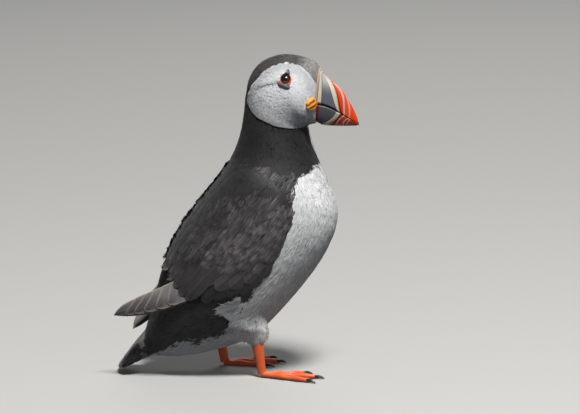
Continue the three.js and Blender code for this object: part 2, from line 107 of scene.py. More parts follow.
def between(rows, x, z, forward=True):
    """Which line between the two rails of the rows passes through (x, z), found by halving, and how
    far along that line the point lies. The rows run forward or backward along the bird."""
    low, high = np.zeros(np.shape(x)), np.full(np.shape(x), len(rows) - 1.0)
    for _ in range(32):
        half = (low + high) / 2
        line = rail(rows, half)
        ahead = ((line[..., 2] - line[..., 0]) * (z - line[..., 1])
                 - (line[..., 3] - line[..., 1]) * (x - line[..., 0]) > 0) == forward
        low, high = np.where(ahead, half, low), np.where(ahead, high, half)
    line = rail(rows, low)
    dx, dz = line[..., 2] - line[..., 0], line[..., 3] - line[..., 1]
    return low, ((x - line[..., 0]) * dx + (z - line[..., 1]) * dz) / (dx**2 + dz**2)


def flank_point(x, z, side, grow=0.0, straight=False):
    """The point of the body that the side view shows at (x, z), on the given side."""
    s, share = between(BODY_STATIONS, x, z)
    return body_point(s, side * np.arccos(np.clip(1 - 2 * share, -1, 1)), grow, straight)


WING_STATIONS = np.array([  # upper edge x, z, lower edge x, z and thickness, from shoulder to rear
    [31, 139, 37, 131, 2], [22, 146, 38.5, 118, 4], [4, 147, 34, 99, 5], [-10, 134.5, 25, 80, 5],
    [-23, 119, 14, 66, 5], [-35, 101, -1, 59.5, 5], [-44, 85, -20, 55, 4.5], [-49, 72, -36, 53, 4]])


def lens(across):
    """Thickness of a flat form across its breadth, as a share: full in the middle, round at the edges."""
    return 0.2 + 0.8 * np.sin(math.pi * np.clip(across, 0, 1))**0.55


def wing_rows(share, across, side, stand):
    """The face of the folded wing, between its upper and lower edge, standing off the flank."""
    rows = rail(WING_STATIONS, share * 7)
    place = rows[..., :2] + (rows[..., 2:4] - rows[..., :2]) * across[..., None]
    grow = 0.3 + rows[..., 4] * lens(across) * (stand > -4) + stand
    return flank_point(place[..., 0], place[..., 1], side, grow)


def grid(rows, columns):
    """Evenly spaced numbers from 0 to 1, as two arrays of rows by columns."""
    return np.meshgrid(np.linspace(0, 1, rows), np.linspace(0, 1, columns), indexing="ij")


def wrapped(rings):
    """Points and triangles of a closed form over rings, with each end closed from its middle."""
    count, sides = rings.shape[:2]
    i, j = np.meshgrid(np.arange(count - 1), np.arange(sides), indexing="ij")
    a, b = i * sides + j, i * sides + (j + 1) % sides
    quads = np.stack([a, b, b + sides, a, b + sides, a + sides], -1).reshape(-1, 3)
    j, last = np.arange(sides), (count - 1) * sides
    start = np.stack([np.full(sides, count * sides), (j + 1) % sides, j], -1)
    end = np.stack([np.full(sides, count * sides + 1), last + j, last + (j + 1) % sides], -1)
    points = np.vstack([rings.reshape(-1, 3), rings[0].mean(0), rings[-1].mean(0)])
    return outward(points, np.vstack([quads, start, end]))


def outward(points, faces):
    """Turns all the faces round if they enclose a negative volume."""
    a, b, c = points[faces[:, 0]], points[faces[:, 1]], points[faces[:, 2]]
    return points, faces if (a * np.cross(b, c)).sum() > 0 else faces[:, ::-1]


def joined(forms):
    """Several sets of points and triangles as one."""
    starts = np.cumsum([0] + [len(points) for points, _ in forms[:-1]])
    return (np.vstack([points for points, _ in forms]),
            np.vstack([faces + start for (_, faces), start in zip(forms, starts)]))


def piece_of(name, points, faces, material=None):
    """A smooth-shaded object in the shared frame, from points in millimetres and triangles."""
    mesh = bpy.data.meshes.new(name)
    mesh.vertices.add(len(points))
    mesh.vertices.foreach_set("co", (points * 0.001).astype(np.float32).ravel())
    mesh.loops.add(faces.size)
    mesh.loops.foreach_set("vertex_index", faces.astype(np.int32).ravel())
    mesh.polygons.add(len(faces))
    mesh.polygons.foreach_set("loop_start", np.arange(0, faces.size, 3, dtype=np.int32))
    mesh.polygons.foreach_set("use_smooth", np.ones(len(faces), bool))
    mesh.update(calc_edges=True)
    piece = bpy.data.objects.new(name, mesh)
    bpy.context.scene.collection.objects.link(piece)
    if material:
        mesh.materials.append(material)
    return piece


def remeshed(name, form, voxel, rounds, material):
    """One even, smoothed skin round all the closed forms given."""
    rough = piece_of(name + "_rough", *form)
    remesh = rough.modifiers.new("one skin", "REMESH")
    remesh.mode, remesh.voxel_size, remesh.use_smooth_shade = "VOXEL", voxel * 0.001, True
    relax = rough.modifiers.new("relax", "SMOOTH")
    relax.factor, relax.iterations = 0.5, rounds
    rough.modifiers.new("triangles", "TRIANGULATE")
    bpy.context.view_layer.update()
    mesh = bpy.data.meshes.new_from_object(rough.evaluated_get(bpy.context.evaluated_depsgraph_get()))
    bpy.data.objects.remove(rough)
    mesh.name = name
    mesh.materials.clear()
    mesh.materials.append(material)
    piece = bpy.data.objects.new(name, mesh)
    bpy.context.scene.collection.objects.link(piece)
    return piece


def points_of(piece):
    """A piece's points in millimetres."""
    points = np.empty(len(piece.data.vertices) * 3, np.float32)
    piece.data.vertices.foreach_get("co", points)
    return points.reshape(-1, 3).astype(float) * 1000


def painted(piece, colours):
    """Stores a linear colour for each point in the attribute Coat."""
    layer = piece.data.color_attributes.new("Coat", "FLOAT_COLOR", "POINT")
    layer.data.foreach_set("color", np.hstack([colours, np.ones((len(colours), 1))]).astype(np.float32).ravel())


# The markings are drawn in side view, unturned: the white face disc, and the white of the underside.
FACE_OUTLINE = np.array([
    [36.7, 220.1], [43.7, 219.2], [49.4, 217], [53.6, 213.6], [57, 208.7], [58.3, 205.1], [62, 200],
    [62, 181], [56.8, 174.7], [51.8, 174.2], [47.7, 174.3], [38.9, 175.9], [31.8, 177.4], [24.4, 180.2],
    [18.1, 182.5], [12.7, 187.1], [9.3, 192.3], [9.5, 195], [10.4, 199.3], [13.6, 204.7], [19.6, 210.9],
    [23, 214.3], [27.9, 217.3], [33.4, 219.1]])
WHITE_OUTLINE = np.array([
    [95, 156], [66, 154], [56, 151.4], [47.4, 147.4], [35.3, 144.1], [36.2, 138.6], [35.7, 125.3],
    [37.7, 116.6], [31.8, 102.1], [27.9, 88.1], [19.6, 74], [14.1, 61], [2, 57], [-5, 52],
    [-6.5, 47.5], [-2, 43.5], [0.5, 39], [-2.5, 34.2], [-8.8, 30.1], [-19.9, 27.6], [-28.6, 26.4],
    [-34.4, 27.7], [-48.3, 15.8], [-56.9, 11.3], [-75, 1], [-75, -20], [95, -20]])


def line_gap(x, z, start, end):
    """How far a place of the side view lies from the straight line between two others: the place less
    its own foot on the line, which stops at the line's ends."""
    (x0, z0), (x1, z1) = start, end
    along = np.clip(((x - x0) * (x1 - x0) + (z - z0) * (z1 - z0)) / ((x1 - x0)**2 + (z1 - z0)**2), 0, 1)
    return np.hypot(x - x0 - along * (x1 - x0), z - z0 - along * (z1 - z0))


def depth_inside(outline, x, z):
    """How far each point lies inside an outline, negative outside it."""
    nearest, crossings = np.full(np.shape(x), 1e9), np.zeros(np.shape(x), int)
    for (x0, z0), (x1, z1) in zip(outline, np.roll(outline, -1, 0)):
        nearest = np.minimum(nearest, line_gap(x, z, (x0, z0), (x1, z1)))
        reach = (x1 - x0) * (z - z0) / (z1 - z0 + 1e-12) + x0
        crossings += ((z0 > z) != (z1 > z)) & (x < reach)
    return np.where(crossings % 2 == 1, nearest, -nearest)


def mixed(a, b, share):
    """A colour or number that goes from a to b as the share goes from 0 to 1."""
    share = np.asarray(share)
    return a * (1 - share[..., None]) + b * share[..., None]


SOOT = np.array([0.021, 0.019, 0.0192])
SLATE_CROWN = np.array([0.062, 0.055, 0.051])
SNOW = np.array([0.8, 0.8, 0.79])
FACE_GREY = np.array([0.66, 0.665, 0.67])
# Grey of the face disc's border, darkened further as painted shade for the lower cheek.
FACE_BORDER_GREY_AND_SHADE = np.array([0.29, 0.295, 0.305])
# Pale forehead: partly its own grey-brown, partly painted sheen.
FOREHEAD_GREY_AND_SHEEN = np.array([0.32, 0.3, 0.285])
EYE_CREASE = np.array([(35.2, 207.4), (32, 206.6), (26.9, 205.6), (21.5, 204.3), (16.7, 202.2)])


def crease_gap(x, z):
    """How far a place of the side view lies from the crease that runs back from the eye."""
    return np.min([line_gap(x, z, *ends) for ends in zip(EYE_CREASE[:-1], EYE_CREASE[1:])], 0)


def markings(x, z, raggedness=0.0):
    """The coat's colour at a place of the unturned side view. It holds painted shade on the neck, at the
    border of the face disc and along and above the crease behind the eye, and painted sheen on the
    forehead. Raggedness moves a border by that many millimetres, so that light and dark feathers interlock."""
    head = smooth((z - 176) / 10)
    crown = smooth((z - 196) / 18)
    # Painted shade: the black is darkened by up to 0.4 upward over the neck, from z = 150 to 170.
    soot_and_neck_shade = SOOT * (1 - 0.4 * smooth((z - 150) / 20))[..., None]
    dark = mixed(mixed(soot_and_neck_shade, SLATE_CROWN, crown), FOREHEAD_GREY_AND_SHEEN, 0.8 * smooth((x - 45) / 11) * crown)
    # The face disc darkens toward its whole border: partly the disc's own grey edge, partly painted shade meant
    # for the lower cheek.
    face = mixed(FACE_BORDER_GREY_AND_SHADE, FACE_GREY, smooth((depth_inside(FACE_OUTLINE, x, z) - 1) / 7))
    face = mixed(FACE_GREY * 0.85, FACE_GREY * 1.12, smooth((x - 8) / 26)) * 0.5 + face * 0.5
    rim = smooth(1 - depth_inside(FACE_OUTLINE, x, z) / 1.1) * smooth((44 - x) / 10)
    face = mixed(face, SNOW, 0.8 * rim)
    # Painted shade: the feathers just above the crease behind the eye are darkened, and a thin dark line is
    # painted along the crease itself.
    above = z - np.interp(x, EYE_CREASE[::-1, 0], EYE_CREASE[::-1, 1])
    fade = smooth((x - 14) / 8) * smooth((38 - x) / 3)
    face = mixed(face, FACE_BORDER_GREY_AND_SHADE * 0.8, 0.5 * smooth(above / 0.6) * smooth(1 - above / 4) * fade)
    face = mixed(face, SLATE_CROWN * 0.7, 0.95 * np.exp(-(crease_gap(x, z) / 0.62)**2) * fade)
    white = mixed(dark, SNOW, smooth(0.5 + (depth_inside(WHITE_OUTLINE, x, z) + raggedness) / 0.8)
                  * (z < 165))
    on_face = smooth(0.5 + (depth_inside(FACE_OUTLINE, x, z) + 0.25 * raggedness) / 0.6)
    return mixed(white, face, on_face * (head > 0) * (z > 172))


def side_view(points):
    """The unturned side view of points on the body: each is turned back by its own place's twist."""
    x, z = points[..., 0].copy(), points[..., 2]
    for _ in range(4):
        s, _ = between(BODY_STATIONS, x, z)
        x = turned(points - FRAME_SHIFT, -twist_at(s))[..., 0]
    return x, z


def added(material, kind, **inputs):
    """A new node of the material, with the numbers of its inputs set."""
    node = material.node_tree.nodes.new("ShaderNode" + kind)
    for key, value in inputs.items():
        node.inputs[key].default_value = value
    return node


def wired(material, *wires):
    """Links nodes of the material. Each wire is a node, its output, another node and its input."""
    for source, output, target, entry in wires:
        material.node_tree.links.new(source.outputs[output], target.inputs[entry])


def skin_material(name, roughness, grain, strength, spread=0.28):
    """Colour from the attribute Coat, mottled by a fine noise that also gives the bump. Spread is how
    much the mottling lightens and darkens the colour."""
    material = bpy.data.materials.new(name)
    material.use_nodes = True
    shader = material.node_tree.nodes["Principled BSDF"]
    shader.inputs["Roughness"].default_value = roughness
    shader.inputs["Specular IOR Level"].default_value = 0.3
    coat, place = added(material, "Attribute"), added(material, "TexCoord")
    coat.attribute_name = "Coat"
    noise = added(material, "TexNoise", Scale=grain, Detail=4)
    tone = added(material, "MapRange", **{"To Min": 1 - spread, "To Max": 1 + spread})
    mottle = added(material, "Mix", Factor=1)
    mottle.data_type, mottle.blend_type = "RGBA", "MULTIPLY"
    bump = added(material, "Bump", Strength=strength, Distance=0.0004)
    wired(material, (place, "Object", noise, "Vector"), (noise, "Fac", tone, "Value"),
          (coat, "Color", mottle, "A"), (tone, "Result", mottle, "B"),
          (mottle, "Result", shader, "Base Color"), (noise, "Fac", bump, "Height"),
          (bump, "Normal", shader, "Normal"))
    return material


def fixed(piece, slot, *nodes):
    """Fixes a piece to the body and puts it in place of the nodes named, if any. The slot is not used."""
    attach(piece, "root")
    if nodes:
        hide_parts(*nodes)


LEGS = {  # hip, knee and ankle in side view, and the heel's x
    "right": dict(side=-1, joints=[(6, 46), (13.5, 33), (15.8, 20)], heel=18.5),
    "left": dict(side=1, joints=[(-9, 41), (-10, 29), (-10.5, 17.5)], heel=-8)}
LEG_SPREAD = 22
THIGH_RADII = np.array([[16.0], [10.2], [3.0]])


def limb_point(joints, radii, share, turn, squash=1.0):
    """A round tube along a curve through the joints. Its rings stand square to the curve."""
    joints = np.asarray(joints, float)
    along = share * (len(joints) - 1)
    centre = rail(joints, along)
    ahead = rail(joints, np.clip(along + 0.02, 0, len(joints) - 1)) - rail(joints, np.maximum(along - 0.02, 0))
    ahead /= np.linalg.norm(ahead, axis=-1, keepdims=True)
    across = np.cross([0, 0, 1], ahead)
    upright = np.linalg.norm(across, axis=-1, keepdims=True) < 0.14
    across = np.where(upright, [0, 1, 0], across)
    across /= np.linalg.norm(across, axis=-1, keepdims=True)
    other = np.cross(ahead, across)
    radius = rail(radii, along)
    return (centre + across * radius * squash * np.cos(turn)[..., None]
            + other * radius * np.sin(turn)[..., None])


def thigh_point(leg, share, turn, grow=0.0):
    """The feathered thigh, a tapering tube, flattened against the body, from the flank to the top of
    the bare shank. Its upper end is drawn in like a dome, so that it melts into the flank."""
    joints = np.array([(x, leg["side"] * LEG_SPREAD, z) for x, z in leg["joints"]], float)
    centre = limb_point(joints, THIGH_RADII * 0, share, turn)
    dome = 0.35 + 0.65 * smooth(share / 0.5)
    radii = np.maximum(THIGH_RADII + grow, 1.5)
    return centre + (limb_point(joints, radii, share, turn, 0.65) - centre) * dome[..., None] + FRAME_SHIFT


def coat_depth(s):
    """The coat is 3.5 thick on the trunk, 2.2 on the neck and 0.8 on the head."""
    return np.interp(s, [-3, 0, 1, 5, 7.6, 8.8, 15], [1.2, 2, 3.5, 3.5, 2.2, 0.85, 0.75])


def around(rows, sides, surface):
    """Rings of a surface that closes on itself: share along from 0 to 1, and a full turn."""
    share, turn = np.meshgrid(np.linspace(0, 1, rows), np.linspace(0, 2 * math.pi, sides, endpoint=False),
                              indexing="ij")
    return surface(share, turn)


WING_HIDE_TOP, WING_HIDE_UNDER, THIGH_COAT = -3.0, -4.5, -2.7  # off the wing's and the thigh's faces
SKIN_VOXEL, SKIN_ROUNDS = 1.25, 6
hide = [wrapped(around(150, 120, lambda u, turn: body_point(u * BILL_BASE, turn, -coat_depth(u * BILL_BASE))))]
for side in SIDES.values():
    share, across = grid(60, 40)
    inset = 0.03 + 0.94 * across
    outer = wing_rows(0.02 + 0.96 * share, inset, side, WING_HIDE_TOP)
    inner = wing_rows(0.02 + 0.96 * share, inset, side, WING_HIDE_UNDER)
    hide.append(wrapped(np.concatenate([outer, inner[:, ::-1]], 1)))
for leg in LEGS.values():
    hide.append(wrapped(around(30, 40, lambda u, turn: thigh_point(leg, u, turn, THIGH_COAT))))
skin = remeshed("skin", joined(hide), SKIN_VOXEL, SKIN_ROUNDS, skin_material("hide", 0.9, 700, 0.6))
painted(skin, markings(*side_view(points_of(skin))))
fixed(skin, "black_feathers", "trunk", "neck", "head", "thigh_left", "thigh_right", "wing_left", "wing_right")

# ---------------------------------------------------------------- face feathers
# The white disc of each cheek is a velvet of tiny feathers, which lie back from the bill and round
# the eye. Each feather is a tuft of fine blades rooted in the skin. The disc shades as if it bulged
# along its middle: the blades' shading normals tilt up above it and down below it.
def unit(vectors):
    """Vectors of length one."""
    return vectors / np.maximum(np.linalg.norm(vectors, axis=-1, keepdims=True), 1e-12)


def charted(surface, p_ends, q_ends, samples, side=1):
    """A surface's points, outward normals and slopes along p and q, sampled on an even grid."""
    p, q = np.linspace(*p_ends, samples[0]), np.linspace(*q_ends, samples[1])
    points = surface(*np.meshgrid(p, q, indexing="ij"))
    slope_p, slope_q = np.gradient(points, p, axis=0), np.gradient(points, q, axis=1)
    normal = unit(np.cross(slope_p, slope_q)) * side
    return dict(table=np.concatenate([points, normal, slope_p, slope_q], -1), p=p_ends, q=q_ends)


def looked_up(chart, p, q):
    """The chart's point, normal and slopes at (p, q), blended from the four nearest samples."""
    table = chart["table"]
    rows, columns = table.shape[:2]
    u = np.clip((p - chart["p"][0]) / (chart["p"][1] - chart["p"][0]), 0, 1 - 1e-9) * (rows - 1)
    v = np.clip((q - chart["q"][0]) / (chart["q"][1] - chart["q"][0]), 0, 1 - 1e-9) * (columns - 1)
    i, j = u.astype(int), v.astype(int)
    f, g = (u - i)[..., None], (v - j)[..., None]
    found = ((table[i, j] * (1 - f) + table[i + 1, j] * f) * (1 - g)
             + (table[i, j + 1] * (1 - f) + table[i + 1, j + 1] * f) * g)
    return found[..., :3], found[..., 3:6], found[..., 6:9], found[..., 9:]


def dot(a, b):
    """The scalar product of each pair of vectors."""
    return (a * b).sum(-1)


def combed(chart, p, q, length, rows, lean=0.0, curl=0.0, toward=None):
    """The midline of each plume. From its root it runs against p, or toward a given direction, turned
    by its lean and then more and more by its curl, and keeps to the surface in equal steps."""
    step, found = length / (rows - 1), []
    for row in range(rows):
        place, normal, slope_p, slope_q = looked_up(chart, p, q)
        ahead = unit(-slope_p if toward is None else toward - dot(toward, normal)[:, None] * normal)
        angle = (lean + curl * row / (rows - 1))[:, None]
        way = ahead * np.cos(angle) + np.cross(normal, ahead) * np.sin(angle)
        found.append((place, normal, np.cross(normal, way), p, q))
        pp, pq, qq = dot(slope_p, slope_p), dot(slope_p, slope_q), dot(slope_q, slope_q)
        wp, wq = dot(way, slope_p) * step, dot(way, slope_q) * step
        area = np.maximum(pp * qq - pq**2, 1e-6)
        p, q = p + (qq * wp - pq * wq) / area, q + (pp * wq - pq * wp) / area
    return [np.stack(column, 1) for column in zip(*found)]


def scattered(chart, spacing, p_ends, q_ends):
    """Roots spread evenly over the surface: places that step by powers of one irrational number in p
    and q, nudged at random, and thinned out where the chart is crowded."""
    p, q = np.meshgrid(np.linspace(*p_ends, 80), np.linspace(*q_ends, 80))
    _, _, slope_p, slope_q = looked_up(chart, p, q)
    densest = np.quantile(np.linalg.norm(np.cross(slope_p, slope_q), axis=-1), 0.995)
    count = int(densest * abs((p_ends[1] - p_ends[0]) * (q_ends[1] - q_ends[0])) / spacing**2)
    p, q = ((np.arange(1, count + 1)[:, None] * 1.3247179572 ** -np.arange(1, 3)) % 1).T
    p, q = p_ends[0] + p * (p_ends[1] - p_ends[0]), q_ends[0] + q * (q_ends[1] - q_ends[0])
    _, _, slope_p, slope_q = looked_up(chart, p, q)
    kept = chance.uniform(0, densest, count) < np.linalg.norm(np.cross(slope_p, slope_q), axis=-1)
    nudge = chance.normal(0, 0.5 * spacing, (2, count))
    p = p + nudge[0] / np.maximum(np.linalg.norm(slope_p, axis=-1), 1)
    q = q + nudge[1] / np.maximum(np.linalg.norm(slope_q, axis=-1), 1)
    return p[kept], q[kept]


# A blade has a root, a middle and a tip, and a ridge along its upper face. Columns: row, across from
# -1 to 1, rise by its own half width, and drop by its thickness.
BLADE = np.array([(0, -1, 0, 0), (0, 0, 0.35, 0), (0, 1, 0, 0), (1, -1, 0, 0), (1, 0, 0.35, 0), (1, 1, 0, 0),
                  (2, 0, 0, 0)], float)
BLADE_FACES = np.array([(0, 4, 1), (0, 3, 4), (1, 5, 2), (1, 4, 5), (2, 3, 0), (2, 5, 3), (3, 6, 4),
                        (4, 6, 5), (5, 6, 3), (0, 1, 2)])[:, ::-1]


def rounded_over(midline, shape, roundness, tilt=0.0):
    """Shading normals that turn from one edge of each plume to the other, as if it were round."""
    row = shape[:, 0].astype(int)
    return unit(midline[1][:, row] + (roundness * shape[:, 1])[:, None] * midline[2][:, row] + tilt)


def plumes(midline, shape, half_width, lift):
    """Each plume's points: the shape's rows set along the midline, out to the sides by the half width,
    and off the surface by the lift and the rise."""
    centre, normal, side = midline[:3]
    row = shape[:, 0].astype(int)
    wide = half_width[:, row]
    off = lift[:, row] + wide * shape[:, 2]
    return centre[:, row] + side[:, row] * (wide * shape[:, 1])[..., None] + normal[:, row] * off[..., None]


def coat_piece(name, batches, material, slot, *nodes):
    """One mesh of many plumes. A batch is (points, faces of one plume, colours, bake places, barb
    places, shading normals), each plume a row. A normal of nought leaves the shading to the shape.
    Faces of a plume that encloses a negative volume are turned round. The piece stands in for the
    nodes named, if any."""
    points, faces, colours, bake, barbs, normals, start = [], [], [], [], [], [], 0
    for plume_points, plume_faces, plume_colours, plume_bake, plume_barbs, plume_normals in batches:
        count, size = plume_points.shape[:2]
        points.append(plume_points.reshape(-1, 3))
        corners = plume_points[:, plume_faces] - plume_points.mean(1)[:, None, None]
        volume = (corners[:, :, 0] * np.cross(corners[:, :, 1], corners[:, :, 2])).sum((1, 2))
        own = np.where((volume < 0)[:, None, None], plume_faces[:, ::-1], plume_faces)
        faces.append((own + start + size * np.arange(count)[:, None, None]).reshape(-1, 3))
        colours.append(plume_colours.reshape(-1, 3))
        bake.append(plume_bake.reshape(-1, 2))
        barbs.append(plume_barbs.reshape(-1, 2))
        normals.append(plume_normals.reshape(-1, 3))
        start += count * size
    points, faces = np.vstack(points), np.vstack(faces)
    piece = piece_of(name, points, faces, material)
    piece.data.normals_split_custom_set_from_vertices(np.vstack(normals))
    painted(piece, np.vstack(colours))
    for layer_name, places in [("OFBake", np.vstack(bake)), ("Vane", np.vstack(barbs))]:
        layer = piece.data.uv_layers.new(name=layer_name)
        layer.data.foreach_set("uv", places[faces.ravel()].astype(np.float32).ravel())
    fixed(piece, slot, *nodes)


def chosen_plumes(batch, kept):
    """The plumes of a batch of tufts that are kept."""
    return tuple(part if part is BLADE_FACES else part[kept] for part in batch)


def only(kept, *arrays):
    """Each array without the places that are not kept."""
    return [array[kept] for array in arrays]


def patches(across, along, shape, rows, size=0.003):
    """Each plume's patch on the unwrap of the skin, at its root's place there."""
    own = np.stack([shape[:, 1] * 0.5, shape[:, 0] / (rows - 1) - 0.5], -1) * size
    return np.stack([across, along], -1)[:, None] * 0.99 + 0.005 + own[None]


def feather_material(name, roughness, sheen, barb_strength, grain_strength=0.25, spread=0.28):
    """Colour from the attribute Coat, with the fine slanting lines of the barbs from the map Vane."""
    material = skin_material(name, roughness, 1500, grain_strength, spread)
    nodes = material.node_tree.nodes
    shader = nodes["Principled BSDF"]
    shader.inputs["Sheen Weight"].default_value = sheen
    shader.inputs["Sheen Roughness"].default_value = 0.5
    vane, parts = added(material, "UVMap"), added(material, "SeparateXYZ")
    vane.uv_map = "Vane"
    away, slant = added(material, "Math"), added(material, "Math")
    away.operation, slant.operation = "ABSOLUTE", "MULTIPLY_ADD"
    slant.inputs[1].default_value = -1.3
    back = added(material, "CombineXYZ")
    barbs = added(material, "TexNoise", Scale=1.6, Detail=3)
    bump = added(material, "Bump", Strength=barb_strength, Distance=0.0005)
    wired(material, (vane, "UV", parts, "Vector"), (parts, "X", away, 0), (away, "Value", slant, 0),
          (parts, "Y", slant, 2), (slant, "Value", back, "X"), (back, "Vector", barbs, "Vector"),
          (barbs, "Fac", bump, "Height"), (nodes["Bump"], "Normal", bump, "Normal"),
          (bump, "Normal", shader, "Normal"))
    return material


body_chart = charted(body_point, (-3, 15), (-3.6, 3.6), (721, 289))
chance = np.random.default_rng(7)


BLADES = 5  # in one tuft
ROOT_SINK, TIP_SINK = 0.4, 0.75  # a root's depth under the skin, and a tip's in its own half widths


def tufts(p, q, length, half_width, depth, blades, fan, colour, chart=body_chart, p_ends=(0, 15), lean=0.0,
          toward=None, curl=0.3, lay=0.25, droop=3.2, shade=(0.7, 0.95, 1.1), unwrap=None, loose=0.12,
          within=None, ridge=1.0, tilt=0.0):
    """A tuft of blades at each root, fanned out a little, rooted under the skin and curving up to lie
    along the outline of the coat. Lay is how far its tip may stay below that, as a share of the depth.
    Blades that would cross the border of the area given by within are cut short there."""
    repeat = lambda values: np.repeat(np.broadcast_to(values, p.shape), blades)
    count = len(p) * blades
    spread = np.tile(np.linspace(-1, 1, blades), len(p))
    size = repeat(chance.uniform(0.85, 1.15, len(p)))
    reach = repeat(length) * size * chance.uniform(0.78, 1.1, count) * (1 - 0.12 * spread**2)
    angle = repeat(lean + chance.normal(0, loose, len(p))) + spread * fan + chance.normal(0, 0.05, count)
    aim = None if toward is None else np.repeat(toward, blades, 0)
    bend = chance.normal(0, curl, count)
    line = combed(chart, repeat(p), repeat(q), reach, 3, angle, bend, aim)
    if within is not None:
        start, end = within(line[3][:, 0], line[4][:, 0]), within(line[3][:, 2], line[4][:, 2])
        reach = reach * np.where(end < 0, np.clip(start / np.maximum(start - end, 1e-6), 0.15, 1), 1)
        line = combed(chart, repeat(p), repeat(q), reach, 3, angle, bend, aim)
    wide = (repeat(half_width) * size * chance.uniform(0.8, 1.2, count))[:, None] * np.array([0.7, 1, 0.05])
    line[0] = line[0] + line[2] * (spread * repeat(half_width) * 1.1)[:, None, None]
    deep = repeat(depth)
    low = repeat(chance.uniform(0, lay, len(p))) + chance.uniform(0, 0.1, count)
    tip = -deep * low - TIP_SINK * repeat(half_width)
    share = np.array([0, 0.5, 1])
    lift = tip[:, None] - (deep + ROOT_SINK + tip)[:, None] * (1 - share) ** droop
    points = plumes(line, BLADE * [1, 1, ridge, 1], wide, lift)
    row = BLADE[:, 0].astype(int)
    tone = (repeat(chance.uniform(0.86, 1.12, len(p))) * chance.uniform(0.92, 1.08, count))[:, None]
    # Colour by row: the roots are painted darker as shade deep in the coat, and the tips of dark feathers paler as
    # wear.
    colours = np.repeat(colour, blades, 0)[:, None] * (tone * np.array(shade)[row])[..., None]
    if unwrap is None:
        unwrap = (line[4][:, 0] / math.tau + 0.5, (line[3][:, 0] - p_ends[0]) / (p_ends[1] - p_ends[0]))
    else:
        unwrap = [repeat(values) for values in unwrap]
    bake = patches(*unwrap, BLADE, 3)
    barbs = np.stack([wide[:, row] * BLADE[:, 1], reach[:, None] * BLADE[:, 0] / 2], -1)
    tilt = np.stack([0 * p, 0 * p, tilt + 0 * p], -1).repeat(blades, 0)[:, None]
    return points, BLADE_FACES, colours, bake, barbs, rounded_over(line, BLADE, 0.35, tilt)


def straight_view(p, q):
    """The side view of places of the body chart, before the neck turns."""
    place = body_point(p, q, 0.0, True)
    return place[..., 0], place[..., 2]


EYE_PLACE = (38.7, 209.5)
ROSETTE_PLACE = (55.9, 191.4)


def bare(x, z, inset=0.0):
    """Whether a place of the side view lies under the eye, its rim and plates, or the gape rosette,
    and farther inside its edge than the inset."""
    dx, dz = x - EYE_PLACE[0], z - EYE_PLACE[1]
    slant = dx + 0.9, dz + 4.5
    along = slant[0] * math.cos(0.3) - slant[1] * math.sin(0.3)
    off = slant[0] * math.sin(0.3) + slant[1] * math.cos(0.3)
    return ((np.hypot(dx / (3.9 - inset), dz / (3.7 - inset)) < 1)
            | (np.hypot(along / (4.6 - inset), off / 1.3) < 1)
            | ((np.abs(dx - 1.3) < (6.2 - dz) * 0.5 - inset / 2) & (dz > 0) & (dz < 6))
            | (np.hypot(x - ROSETTE_PLACE[0], z - ROSETTE_PLACE[1]) < 4.3 - inset))


CERE_TURN = 1.9  # how far round from the forehead the fleshy band reaches


def cere_width(turn):
    """The width of the fleshy band in steps of the body chart, from the forehead (0) round each side."""
    return 0.31 - 0.05 * smooth(np.abs(turn) / CERE_TURN) + 0.15 * smooth(np.abs(turn) / CERE_TURN - 0.3)


def under_cere(p, q):
    """Whether a place of the body chart lies well under the fleshy band at the base of the upper bill."""
    return (p > BILL_BASE + 0.14 - cere_width(q)) & (np.abs(q) < CERE_TURN)


def free_of_bare(p, q, length, lean=0.0):
    """Roots whose plumes touch no bare part. A root itself may hide just inside its edge."""
    line = combed(body_chart, p, q, length + 0 * p, 4, lean + 0 * p)
    x, z = straight_view(line[3], line[4])
    return ~bare(x[:, 0], z[:, 0], 1.3) & ~bare(x[:, 1:], z[:, 1:], 0.3).any(1) & ~under_cere(p, q)


white_down = feather_material("white face feather", 0.85, 0.1, 0.03, 0.05, 0.04)
p, q = scattered(body_chart, 0.84, (8.2, 15), (-math.pi, math.pi))
x, z = straight_view(p, q)
inset = depth_inside(FACE_OUTLINE, x, z)
gap = crease_gap(x, z)
kept = (inset > 0.15) & (z > 173) & ~((gap < 0.4) & (chance.uniform(0, 1, p.shape) < 0.3))
p, q, x, z, inset = only(kept, p, q, x, z, inset)
kept = free_of_bare(p, q, 2.9)
p, q, x, z, inset = only(kept, p, q, x, z, inset)
face_length = (np.interp(inset, [0, 2, 8], [3.6, 3.0, 2.7])
               * np.interp(crease_gap(x, z), [0.3, 1.5], [0.7, 1]))
face_depth = coat_depth(p) * np.interp(p, [14.3, 14.9], [1, 0.35])
face = tufts(p, q, face_length, 0.27, face_depth, BLADES, 0.12, markings(x, z), p_ends=(8, 15), lay=0.2,
             droop=2.0, curl=0.1, loose=0.05, shade=(0.85, 0.97, 1.02), ridge=0.5,
             tilt=0.4 * np.clip((z - 193) / 16, -1, 1),
             within=lambda p, q: depth_inside(FACE_OUTLINE, *straight_view(p, q)) + 0.1)
for name, half in [("feathers_face_right", q < 0), ("feathers_face_left", q >= 0)]:
    chosen = np.repeat(half, BLADES)
    coat_piece(name, [chosen_plumes(face, chosen)], white_down, "face_feathers")

